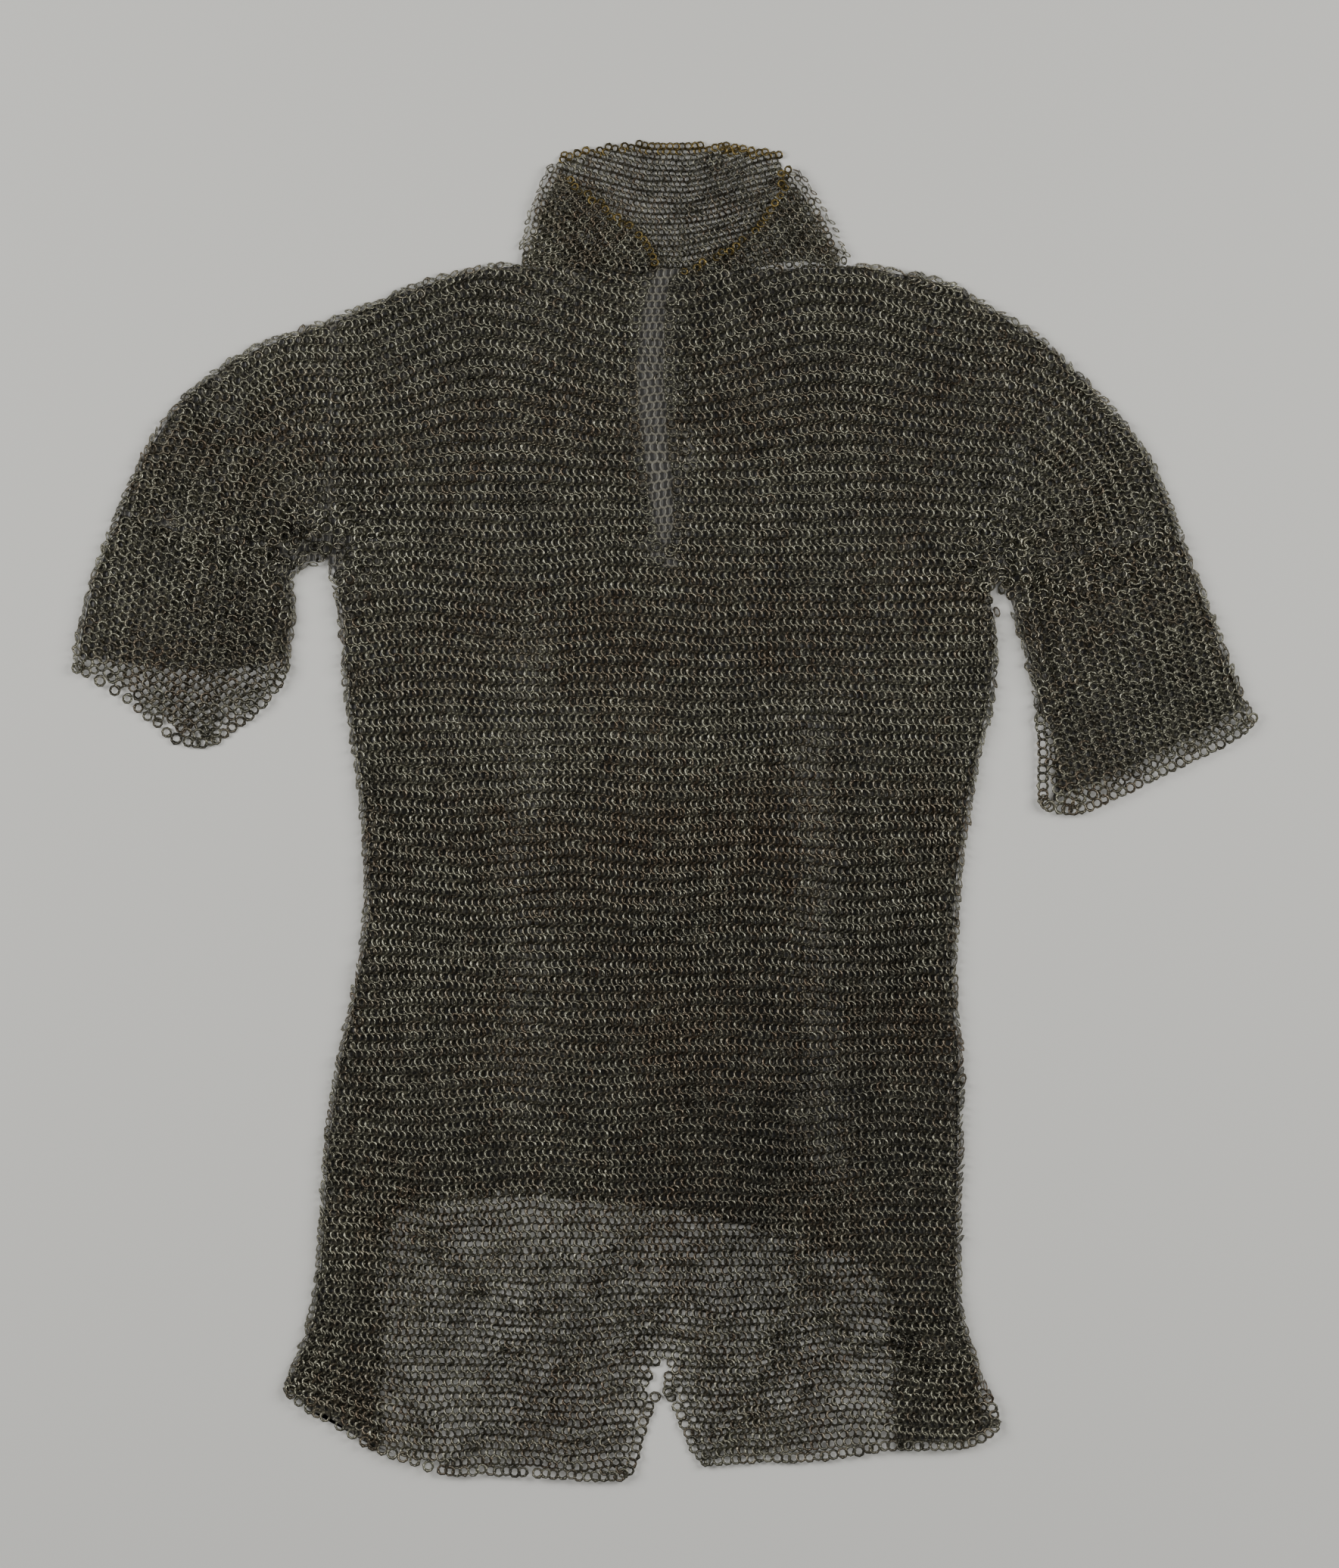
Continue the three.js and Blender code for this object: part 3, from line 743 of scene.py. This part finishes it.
def tones(x, y, rng):
    """How bright and how rusty each ring's metal is, from 0 to 1: slow patches, and a spread from
    ring to ring."""
    patches = 0.5 + 0.08 * drift(x, y, 220, 31) + 0.07 * drift(x, y, 50, 32)
    for cx, cy, radius, amount in TONE_PATCHES:
        patches += amount * np.exp(-((x - cx) ** 2 + (y - cy) ** 2) / radius ** 2)
    tone = np.clip(patches + 0.2 * rng.normal(0, 1, len(x)), 0, 1)
    brown = 0.35 + 0.25 * np.exp(-((x / 150) ** 2 + ((y + 20) / 260) ** 2)) + 0.15 * drift(x, y, 120, 33)
    rust = np.clip(brown + 0.22 * rng.normal(0, 1, len(x)), 0, 1)
    return tone, rust


def edge_path_rings(which, owners, kind, sizes, step, seed):
    """The rings along a layer's edges. Where the mail folds over they stand on edge, and where
    it is cut they hang flat and open."""
    layer = upper_layer() if which == "upper" else lower_layer()
    rng = np.random.default_rng(sizes.seed * 100 + seed)
    x, y, cut = layer.edge_points()
    chosen = cut if kind == "cut" else ~cut
    ends = [(x[i], y[i]) for i in range(len(x)) if chosen[i]]
    tree = KDTree(len(ends))
    for i, (px, py) in enumerate(ends):
        tree.insert((px, py, 0), i)
    tree.balance()
    free, places = np.ones(len(ends), bool), []
    inset = EDGE_INSET if kind == "cut" else FOLD_INSET
    order = sorted(range(len(ends)), key=lambda i: (round(ends[i][1] / 3), ends[i][0]))
    for i in order:
        if not free[i]:
            continue
        for _, k, _ in tree.find_range((*ends[i], 0), step):
            free[k] = False
        near = np.array([ends[k] for _, k, _ in tree.find_range((*ends[i], 0), 9)])
        if len(near) < 3:
            continue
        centre = near.mean(axis=0)
        _, _, axes = np.linalg.svd(near - centre, full_matrices=False)
        along, out = axes[0], np.array([-axes[0][1], axes[0][0]])
        here = centre + along * np.dot(np.array(ends[i]) - centre, along)
        if layer.owner_at(*(here + out * 4)) >= 0:
            out = -out
        here = here - out * inset
        if layer.owner_at(*here) in layer.index(owners):
            places.append((*here, *along, *out))
    places = np.array(places)
    count = len(places)
    px, py = places[:, 0], places[:, 1]
    draws = rng.normal(0, 1, (7, count))
    px, py = px + 0.35 * draws[3], py + 0.35 * draws[4]
    out = np.concatenate([places[:, 4:6], np.zeros((count, 1))], axis=1)
    z, normal = layer.surface(px, py)
    if kind == "cut":
        normal = np.tile([0.0, 0.0, 1.0], (count, 1))
    axes = np.stack([out, np.cross(normal, out), normal], axis=-1)
    side = np.where(np.arange(count) % 2, 1, -1)
    rings = Rings(count)
    if kind == "cut":
        rings.turn = turned(axes, 0.1 * draws[0], side * 0.13 + 0.1 * draws[1], 2.0 * draws[2])
        lift = 1.3 + 0.3 * np.abs(draws[5])
        height = np.maximum(z - lift - 0.4, lift)
    else:
        turn = turned(axes, 0 * draws[0], side * 0.35 + 0.12 * draws[1], 2.0 * draws[2])
        rings.turn = tilted_out(turn, out, FOLD_STAND + 0.14 * draws[0])
        height = np.full(count, FOLD_HEIGHT)
    rings.place = np.stack([px, py, height + 0.25 * draws[6]], axis=-1)
    rings.size = 1 + 0.04 * draws[5]
    rings.owner = layer.owner_at(px, py)
    rings.tone, rings.rust = tones(px, py, rng)
    return rings.pick(rings.owner >= 0)


FLAP_EDGE_LEFT = [(-73, 467), (-61, 455), (-46, 443), (-29, 430), (-15, 418), (-4, 406), (-2, 396)]
FLAP_EDGE_RIGHT = [(5, 388), (33, 403), (54, 415), (66, 427), (77, 440), (82, 454), (84, 468)]
COLLAR_TOP = [(-84, 477), (-60, 482), (-30, 486), (0, 487), (40, 486), (70, 482), (93, 477)]


def inside_box(rings, box):
    x, y = rings.place[:, 0], rings.place[:, 1]
    return rings.pick((x > box[0]) & (x < box[2]) & (y > box[1]) & (y < box[3]))


@lru_cache(None)
def woven():
    """Every ring of the upper layer, and those that show of the lower one, by its piece."""
    sizes = settings()[0]
    pitch, row = sizes.collar_pitch / MM, sizes.collar_row / MM
    body = FRONT + SLEEVES
    trunk = trunk_lattice(sizes)
    upper = [
        laid(trunk, "upper", body, sizes, 1),
        laid(sleeve_lattice(sizes, "left"), "upper", body, sizes, 4),
        laid(sleeve_lattice(sizes, "right"), "upper", body, sizes, 5),
        edge_path_rings("upper", body, "cut", sizes, EDGE_STEP, 2),
        edge_path_rings("upper", body + ["collar_left", "collar_right"], "fold", sizes, FOLD_STEP, 3),
    ]
    flaps = {
        "left": edge_lattice(FLAP_EDGE_LEFT, pitch * 1.04, row * 1.1, 28, start=2.5, overrun=60),
        "right": edge_lattice(FLAP_EDGE_RIGHT[::-1], pitch * 1.04, -row * 1.1, 28, start=-2.5, overrun=60),
    }
    for i, (name, lattice) in enumerate(flaps.items()):
        owners = [f"collar_{name}", f"collar_edge_{name}"]
        upper.append(laid(lattice, "upper", owners, sizes, 6 + i, small=True))
    back = edge_lattice(COLLAR_TOP, pitch, row, 26, start=2.8, overrun=60)
    plain = laid(trunk, "lower", ["back_panel"], sizes, 9)
    # The back's rings that show through the neck slit are coloured much darker: painted shade, for the
    # shadow that lies between the breasts.
    plain.tone *= 0.15
    lower = {
        "collar": laid(back, "lower", ["collar_back", "collar_edge_back"], sizes, 8, small=True),
        "slit": inside_box(plain, NECK_SLIT),
        "hem": inside_box(Rings.together([
            laid(trunk, "lower", ["back_panel"], sizes, 10, within=STRIP_WIDTHS["hem"]),
            edge_path_rings("lower", ["back_panel"], "cut", sizes, EDGE_STEP, 12)]), BACK_HEM),
    }
    return Rings.together(upper), lower


# ---- Making rings ----------------------------------------------------------------------------


def ring_template(sizes, small):
    """One riveted ring with a map of its own: a wire of three sides, flat above, bent round in
    eight steps and beaten wider at one of them, where its ends are lapped and riveted."""
    ring, wire = wire_of(sizes, small)
    made = bmesh.new()
    radius = (ring - wire) / 2
    bmesh.ops.create_circle(made, segments=WIRE_SIDES, radius=wire / math.sqrt(3))
    bmesh.ops.scale(made, vec=(1, FLATNESS, 1), verts=made.verts)
    stand = Matrix.Translation((radius, 0, 0)) @ Matrix.Rotation(-math.pi / 2, 4, "X")
    bmesh.ops.transform(made, matrix=stand, verts=made.verts)
    bmesh.ops.spin(
        made, geom=made.verts[:] + made.edges[:], cent=(0, 0, 0), axis=(0, 0, 1),
        angle=2 * math.pi, steps=RING_SEGMENTS, use_merge=True)
    bmesh.ops.remove_doubles(made, verts=made.verts, dist=0.02 * MM)
    bmesh.ops.recalc_face_normals(made, faces=made.faces)
    lap = [vert for vert in made.verts if abs(vert.co.y) < 0.1 * radius and vert.co.x > 0]
    bmesh.ops.scale(
        made, vec=LAP_SPREAD, verts=lap, space=Matrix.Translation((-radius, 0, 0)))
    layer = made.loops.layers.uv.new("OFBake")
    for face in made.faces:
        face.smooth = True
        centre = face.calc_center_median()
        turn = (math.atan2(centre.y, centre.x) / (2 * math.pi)) % 1 * RING_SEGMENTS
        out = math.atan2(centre.z, math.hypot(centre.x, centre.y) - radius)
        band = round((out / (2 * math.pi) % 1) * WIRE_SIDES + 0.25) % WIRE_SIDES
        corners = [(0.06, 0.06), (0.94, 0.06), (0.94, 0.94), (0.06, 0.94)]
        for loop, (u, v) in zip(face.loops, corners):
            loop[layer].uv = ((int(turn) + u) / RING_SEGMENTS, (band + v) / WIRE_SIDES)
    mesh = bpy.data.meshes.new("ring")
    made.to_mesh(mesh)
    made.free()
    ring = bpy.data.objects.new("ring", mesh)
    bpy.context.scene.collection.objects.link(ring)
    return ring


def joining_nodes(ring, cells):
    """Puts the ring on every point, turned and sized as the point says, and joins them all.
    The last steps give each ring its own square of the map."""
    tree = bpy.data.node_groups.new("join_rings", "GeometryNodeTree")
    tree.interface.new_socket("Geometry", in_out="INPUT", socket_type="NodeSocketGeometry")
    tree.interface.new_socket("Geometry", in_out="OUTPUT", socket_type="NodeSocketGeometry")
    points = node(tree, "GeometryNodeMeshToPoints", Mesh=node(tree, "NodeGroupInput").outputs[0])
    source = node(tree, "GeometryNodeObjectInfo", Object=ring)
    turn = node(tree, "GeometryNodeInputNamedAttribute", {"data_type": "QUATERNION"}, Name="turn")
    size = node(tree, "GeometryNodeInputNamedAttribute", {"data_type": "FLOAT_VECTOR"}, Name="size")
    placed = node(
        tree, "GeometryNodeInstanceOnPoints", Points=points.outputs[0],
        Instance=source.outputs["Geometry"], Rotation=turn.outputs[0], Scale=size.outputs[0])
    joined = node(tree, "GeometryNodeRealizeInstances", Geometry=placed.outputs[0])
    own = node(tree, "GeometryNodeInputNamedAttribute", {"data_type": "FLOAT_VECTOR"}, Name="OFBake")
    cell = node(tree, "GeometryNodeInputNamedAttribute", {"data_type": "FLOAT_VECTOR"}, Name="cell")
    moved = node(tree, "ShaderNodeVectorMath", {"operation": "ADD"}, i0=own.outputs[0], i1=cell.outputs[0])
    fitted = node(tree, "ShaderNodeVectorMath", {"operation": "SCALE"}, i0=moved.outputs[0], Scale=1 / cells)
    stored = node(
        tree, "GeometryNodeStoreNamedAttribute", {"data_type": "FLOAT2", "domain": "CORNER"},
        Geometry=joined.outputs[0], Name="OFBake", Value=fitted.outputs[0])
    node(tree, "NodeGroupOutput", Geometry=stored.outputs[0])
    return tree


def make_rings(name, rings, material, small=False):
    """Joins rings into one named object, and returns it."""
    sizes = settings()[0]
    count = len(rings.size)
    if not count:
        raise RuntimeError(f"{name} has no rings")
    mesh = bpy.data.meshes.new(name)
    mesh.vertices.add(count)
    mesh.vertices.foreach_set("co", (rings.place * MM).astype(np.float32).ravel())
    turns = np.array([Matrix(m).to_quaternion()[:] for m in rings.turn.tolist()], np.float32)
    mesh.attributes.new("turn", "QUATERNION", "POINT").data.foreach_set("value", turns.ravel())
    three = np.repeat(rings.size, 3).astype(np.float32)
    mesh.attributes.new("size", "FLOAT_VECTOR", "POINT").data.foreach_set("vector", three)
    cells = math.ceil(math.sqrt(count))
    cell = np.stack([np.arange(count) % cells, np.arange(count) // cells, np.zeros(count)], -1)
    mesh.attributes.new("cell", "FLOAT_VECTOR", "POINT").data.foreach_set(
        "vector", cell.astype(np.float32).ravel())
    for look in ("tone", "rust"):
        values = getattr(rings, look).astype(np.float32)
        mesh.attributes.new(look, "FLOAT", "POINT").data.foreach_set("value", values)
    template = ring_template(sizes, small)
    points = bpy.data.objects.new(name + "_points", mesh)
    bpy.context.scene.collection.objects.link(points)
    join = points.modifiers.new("join", "NODES")
    join.node_group = joining_nodes(template, cells)
    seen = points.evaluated_get(bpy.context.evaluated_depsgraph_get())
    joined = bpy.data.meshes.new_from_object(seen)
    joined.name = name
    for spent in ("turn", "size", "cell"):
        if spent in joined.attributes:
            joined.attributes.remove(joined.attributes[spent])
    group = join.node_group
    bpy.data.objects.remove(points)
    bpy.data.objects.remove(template)
    bpy.data.node_groups.remove(group)
    joined.materials.clear()
    joined.materials.append(material)
    piece = bpy.data.objects.new(name, joined)
    bpy.context.scene.collection.objects.link(piece)
    return piece


def plan_area(layer, names):
    """Plan area of some nodes of a layer, and its width and length, in metres."""
    rows, columns = np.nonzero(np.isin(layer.owner, layer.index(names)))
    area = len(rows) * (RELIEF_STEP * MM) ** 2
    width = (columns.max() - columns.min() + 1) * RELIEF_STEP * MM
    length = (rows.max() - rows.min() + 1) * RELIEF_STEP * MM
    return area, width, length


def declare(piece, nodes, flat, area):
    """Attaches a piece of mail to the body and hides the solids that it stands for. For a strip that runs
    slantwise it works out a length and width of its own, which nothing then uses.
    """
    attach(piece, BODY)
    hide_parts(*nodes)
    if area is not None and area < 0.31 * flat[0] * flat[1]:
        flat = (STRIP_WIDTH * MM, area / (EDGING_WIDTH * MM))


# ---- Materials -------------------------------------------------------------------------------


def new_material(name):
    material = bpy.data.materials.new(name)
    material.use_nodes = True
    tree = material.node_tree
    tree.nodes.clear()
    return material, tree


def gritty_metal(tree, colour, grits, roughness, strength):
    """Finishes a metal's material: a fine grit breaks up its shine and pits its skin. It has so
    many grits to a metre, each a little under a millimetre, about half the wire's width."""
    where = node(tree, "ShaderNodeTexCoord").outputs["Object"]
    grit = node(tree, "ShaderNodeTexNoise", Vector=where, Scale=grits, Detail=2.0)
    rough = node(
        tree, "ShaderNodeMapRange", Value=grit.outputs["Fac"], From_Min=0.3, From_Max=0.7,
        To_Min=roughness[0], To_Max=roughness[1])
    bump = node(
        tree, "ShaderNodeBump", Height=grit.outputs["Fac"], Strength=strength, Distance=0.2 * MM)
    shader = node(
        tree, "ShaderNodeBsdfPrincipled", Base_Color=colour, Metallic=1.0,
        Roughness=rough.outputs[0], Normal=bump.outputs[0])
    node(tree, "ShaderNodeOutputMaterial", Surface=shader.outputs[0])


def patinated_iron():
    """Iron wire, drawn, riveted and oiled: a brown-black oxide skin, bare and bright where rings
    rub, with a little rust. The skin scatters light, so edges glint and hollows stay dull."""
    looks = settings()[1]
    material, tree = new_material("patinated_iron_wire")
    tone = node(tree, "ShaderNodeAttribute", {"attribute_name": "tone"}).outputs["Fac"]
    rust = node(tree, "ShaderNodeAttribute", {"attribute_name": "rust"}).outputs["Fac"]
    plain = node(
        tree, "ShaderNodeMix", {"data_type": "RGBA"}, Factor=tone,
        i6=linear(looks.iron_dark), i7=linear(looks.iron))
    stain = node(tree, "ShaderNodeMapRange", Value=rust, From_Min=0.3, From_Max=1.1)
    rusty = node(
        tree, "ShaderNodeMix", {"data_type": "RGBA"}, Factor=stain.outputs[0],
        i6=plain.outputs[2], i7=linear(looks.rust))
    gritty_metal(tree, rusty.outputs[2], 1400.0, (0.27, 0.45), 0.25)
    return material


def aged_brass():
    """Brass wire gone olive and brown, with a yellow shine left on the tops of the rings."""
    looks = settings()[1]
    material, tree = new_material("aged_brass_wire")
    tone = node(tree, "ShaderNodeAttribute", {"attribute_name": "tone"}).outputs["Fac"]
    colour = node(
        tree, "ShaderNodeMix", {"data_type": "RGBA"}, Factor=tone,
        i6=linear(looks.brass_dark), i7=linear(looks.brass))
    gritty_metal(tree, colour.outputs[2], 1200.0, (0.3, 0.5), 0.2)
    return material


def shadowed_mail():
    """The hidden layer of the same iron mail, drawn as relief: two rows of leaning rings,
    repeated. It is rusted and oiled as the rings are. Its colour holds painted shade: the gaps between its
    rings are near black, the low side of each ring is darker, and its wire is darker than the rings above
    it, as the layer above shades it."""
    sizes, looks, _ = settings()
    material, tree = new_material("shadowed_iron_mail")
    where = node(tree, "ShaderNodeTexCoord").outputs["Object"]
    waver = node(tree, "ShaderNodeTexNoise", Vector=where, Scale=14.0, Detail=1.0)
    moved = node(
        tree, "ShaderNodeVectorMath", {"operation": "MULTIPLY_ADD"}, i0=waver.outputs["Color"],
        i1=(0.02, 0.02, 0), i2=where)
    place = node(tree, "ShaderNodeSeparateXYZ", Vector=moved.outputs[0])

    def maths(operation, *values):
        return node(
            tree, "ShaderNodeMath", {"operation": operation},
            **{f"i{k}": v for k, v in enumerate(values)}).outputs[0]

    relief = None
    middle = (sizes.ring - sizes.wire) / 2
    for row, side in ((0, -1), (1, 1)):
        shift_x, shift_y = row * sizes.pitch / 2, row * sizes.row
        x = maths("WRAP", maths("ADD", place.outputs[0], shift_x), sizes.pitch / 2, -sizes.pitch / 2)
        y = maths("WRAP", maths("ADD", place.outputs[1], shift_y), sizes.row, -sizes.row)
        for beside in (-1, 0, 1):
            dx = maths("ADD", x, beside * sizes.pitch)
            reach = maths("SQRT", maths("ADD", maths("MULTIPLY", dx, dx), maths("MULTIPLY", y, y)))
            off = maths("DIVIDE", maths("ABSOLUTE", maths("SUBTRACT", reach, middle)), sizes.wire / 2)
            wire = maths("MAXIMUM", maths("SUBTRACT", 1.0, maths("MULTIPLY", off, off)), 0.0)
            # The low side of each drawn ring stands lower in the relief, and through the colour below it is
            # painted shade.
            raised = maths("MULTIPLY_ADD", dx, side / sizes.ring, 0.55)
            high = maths("MULTIPLY", wire, maths("MAXIMUM", raised, 0.05))
            relief = high if relief is None else maths("MAXIMUM", relief, high)
    shade = node(
        tree, "ShaderNodeMapRange", {"interpolation_type": "SMOOTHSTEP"}, Value=relief,
        From_Min=0.02, From_Max=0.4, To_Min=0.0, To_Max=1.0)
    # Painted shade: low relief and the gaps between the rings are coloured towards the near-black gap
    # colour.
    colour = node(
        tree, "ShaderNodeMix", {"data_type": "RGBA"}, Factor=shade.outputs[0],
        i6=linear(looks.gap), i7=linear(looks.hidden))
    bump = node(tree, "ShaderNodeBump", Height=relief, Strength=1.0, Distance=0.0009)
    shader = node(
        tree, "ShaderNodeBsdfPrincipled", Base_Color=colour.outputs[2], Metallic=0.0, Roughness=0.4,
        Normal=bump.outputs[0])
    node(tree, "ShaderNodeOutputMaterial", Surface=shader.outputs[0])
    return material


def pale_paper():
    """Smooth matt background paper."""
    looks = settings()[1]
    material, tree = new_material("pale_background_paper")
    shader = node(tree, "ShaderNodeBsdfPrincipled", Base_Color=linear(looks.floor), Roughness=0.9)
    node(tree, "ShaderNodeOutputMaterial", Surface=shader.outputs[0])
    return material


@lru_cache(None)
def finish_named(name):
    return {"iron": patinated_iron, "brass": aged_brass, "shadowed": shadowed_mail}[name]()


# ---- Operators -------------------------------------------------------------------------------


def upper_piece(name, nodes, finish, part=None):
    """A ring piece of the upper layer. part is the lowest and highest Y in mm where a node's
    rings are made as several pieces."""
    layer = upper_layer()
    rings = woven()[0]
    chosen = np.isin(rings.owner, layer.index(nodes))
    area, width, length = plan_area(layer, nodes)
    if part:
        chosen &= (rings.place[:, 1] >= part[0]) & (rings.place[:, 1] < part[1])
        rows = np.isin(layer.owner, layer.index(nodes))[(layer.y >= part[0]) & (layer.y < part[1])]
        area = rows.sum() * (RELIEF_STEP * MM) ** 2
        length = rows.any(axis=1).sum() * RELIEF_STEP * MM
    picked = rings.pick(chosen)
    piece = make_rings(name, picked, finish_named(finish), nodes[0].startswith("collar"))
    declare(piece, nodes, (width, length), area)
    return piece


class HAUBERK_OT_front(bpy.types.Operator):
    """The front of the body: two breasts beside the neck slit, and the trunk and skirt"""

    bl_idname = "hauberk.front"
    bl_label = "Front"

    def execute(self, context):
        upper_piece("breast_left_mail", ["front_left"], "iron")
        upper_piece("breast_right_mail", ["front_right"], "iron")
        bands = {"chest": (-20, 500), "waist": (-250, -20), "skirt": (-500, -250)}
        for name, part in bands.items():
            upper_piece(f"front_{name}_mail", ["front_lower"], "iron", part)
        return {"FINISHED"}


class HAUBERK_OT_sleeves(bpy.types.Operator):
    """The tops of both sleeves"""

    bl_idname = "hauberk.sleeves"
    bl_label = "Sleeves"

    def execute(self, context):
        for side in ("left", "right"):
            upper_piece(f"sleeve_{side}_mail", [f"sleeve_{side}_upper"], "iron")
        return {"FINISHED"}


class HAUBERK_OT_collar(bpy.types.Operator):
    """The collar's two flaps and its back, with two rows of brass rings along their edges"""

    bl_idname = "hauberk.collar"
    bl_label = "Collar"

    def execute(self, context):
        for side in ("left", "right"):
            upper_piece(f"collar_{side}_mail", [f"collar_{side}"], "iron")
            upper_piece(f"collar_edge_{side}_rings", [f"collar_edge_{side}"], "brass")
        layer, rings = lower_layer(), woven()[1]
        for name, finish, slot, made in (
                ("collar_back", "iron", "mail_iron", "collar_back_mail"),
                ("collar_edge_back", "brass", "mail_brass", "collar_edge_back_rings")):
            chosen = rings["collar"].owner == layer.names.index(name)
            piece = make_rings(made, rings["collar"].pick(chosen), finish_named(finish), small=True)
            area, width, length = plan_area(layer, [name])
            declare(piece, [name], (width, length), area)
        return {"FINISHED"}


class HAUBERK_OT_back(bpy.types.Operator):
    """The back and the under sides of the sleeves, which lie hidden, and the back's rings that
    show: through the neck slit, and along its hem through the front skirt"""

    bl_idname = "hauberk.back"
    bl_label = "Back and under sleeves"

    def execute(self, context):
        layer, rings = lower_layer(), woven()[1]
        for name in ("back_panel", "sleeve_left_under", "sleeve_right_under"):
            shell = self.shell(name)
            area, width, length = plan_area(layer, [name])
            declare(shell, [name], (width, length), area)
        cell = settings()[0].pitch * settings()[0].row
        for name, width in STRIP_WIDTHS.items():
            strip = make_rings(f"back_{name}_mail", rings[name], finish_named("iron"))
            area = cell * len(rings[name].size)
            declare(strip, ["back_panel"], (width * MM, area / (width * MM)), area)
        return {"FINISHED"}

    def shell(self, name):
        """The node's own form, pressed a little thinner so that the rings above keep clear of it.
        It stops short of its cut edges, where real rings show."""
        made = bmesh.new()
        made.from_mesh(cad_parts[name].data)
        bmesh.ops.remove_doubles(made, verts=made.verts, dist=0.01 * MM)
        x, y = (np.array([vert.co[k] for vert in made.verts]) / MM for k in (0, 1))
        far, out, cut = edge_of("lower", x, y)
        for i, vert in enumerate(made.verts):
            vert.co.z = min(vert.co.z, WALL * MM) * SHELL_PRESS
            if cut[i] and far[i] < 3:
                vert.co -= Vector(out[i]) * SHELL_TRIM * MM
        mesh = bpy.data.meshes.new(name + "_mail")
        made.to_mesh(mesh)
        made.free()
        mesh.materials.append(finish_named("shadowed"))
        shell = bpy.data.objects.new(name + "_mail", mesh)
        bpy.context.scene.collection.objects.link(shell)
        return shell


class HAUBERK_OT_stage(bpy.types.Operator):
    """The pale floor, the soft lights and the camera overhead"""

    bl_idname = "hauberk.stage"
    bl_label = "Stage"

    def execute(self, context):
        stage = settings()[2]
        made = bmesh.new()
        bmesh.ops.create_grid(made, x_segments=2, y_segments=2, size=4)
        bmesh.ops.translate(made, verts=made.verts, vec=(0, 0, -0.2 * MM))
        mesh = bpy.data.meshes.new("floor")
        made.to_mesh(mesh)
        made.free()
        mesh.materials.append(pale_paper())
        floor = bpy.data.objects.new("floor", mesh)
        context.scene.collection.objects.link(floor)

        world = bpy.data.worlds.new("room")
        context.scene.world = world
        world.use_nodes = True
        world.node_tree.nodes["Background"].inputs["Color"].default_value = (1, 1, 1, 1)
        world.node_tree.nodes["Background"].inputs["Strength"].default_value = stage.fill

        out, up, height = SOFTBOX_PLACE
        for name, x, share in (("softbox_left", -out, 0.51), ("softbox_right", out, 0.49)):
            softbox = bpy.data.lights.new(name, "AREA")
            softbox.shape = "RECTANGLE"
            softbox.size, softbox.size_y = SOFTBOX
            softbox.energy = stage.light * share
            light = bpy.data.objects.new(name, softbox)
            light.location = (x, up, height)
            light.rotation_euler = Vector(light.location).to_track_quat("Z", "Y").to_euler()
            context.scene.collection.objects.link(light)

        lens = bpy.data.cameras.new("camera")
        lens.sensor_fit = "VERTICAL"
        lens.sensor_height = 36.0
        lens.lens = 36.0 * stage.camera_height / stage.framed_height
        lens.clip_end = 50
        camera = bpy.data.objects.new("camera", lens)
        camera.location = (VIEW_CENTRE[0] * MM, VIEW_CENTRE[1] * MM, stage.camera_height)
        context.scene.collection.objects.link(camera)
        context.scene.camera = camera
        return {"FINISHED"}


class HAUBERK_PT_panel(bpy.types.Panel):
    """Lists the pieces and the sizes and colours that they are made with"""

    bl_idname = "HAUBERK_PT_panel"
    bl_label = "Chainmail hauberk"
    bl_space_type = "VIEW_3D"
    bl_region_type = "UI"
    bl_category = "Hauberk"

    def draw(self, context):
        for group in settings():
            box = self.layout.box()
            for name in group.bl_rna.properties.keys():
                if name not in ("rna_type", "name"):
                    box.prop(group, name)
        for operator in OPERATORS:
            self.layout.operator(operator.bl_idname)


OPERATORS = (
    HAUBERK_OT_front, HAUBERK_OT_sleeves, HAUBERK_OT_collar, HAUBERK_OT_back, HAUBERK_OT_stage,
)
GROUPS = {
    "hauberk_mail": MailSizes, "hauberk_looks": MailLooks, "hauberk_stage": StageSizes,
}


def register():
    for made in (*GROUPS.values(), *OPERATORS, HAUBERK_PT_panel):
        bpy.utils.register_class(made)
    for name, group in GROUPS.items():
        setattr(bpy.types.Scene, name, PointerProperty(type=group))


def unregister():
    for name in GROUPS:
        delattr(bpy.types.Scene, name)
    for made in reversed((*GROUPS.values(), *OPERATORS, HAUBERK_PT_panel)):
        bpy.utils.unregister_class(made)


def main():
    register()
    bpy.ops.hauberk.front()
    bpy.ops.hauberk.sleeves()
    bpy.ops.hauberk.collar()
    bpy.ops.hauberk.back()
    bpy.ops.hauberk.stage()


if __name__ == "__main__":
    main()
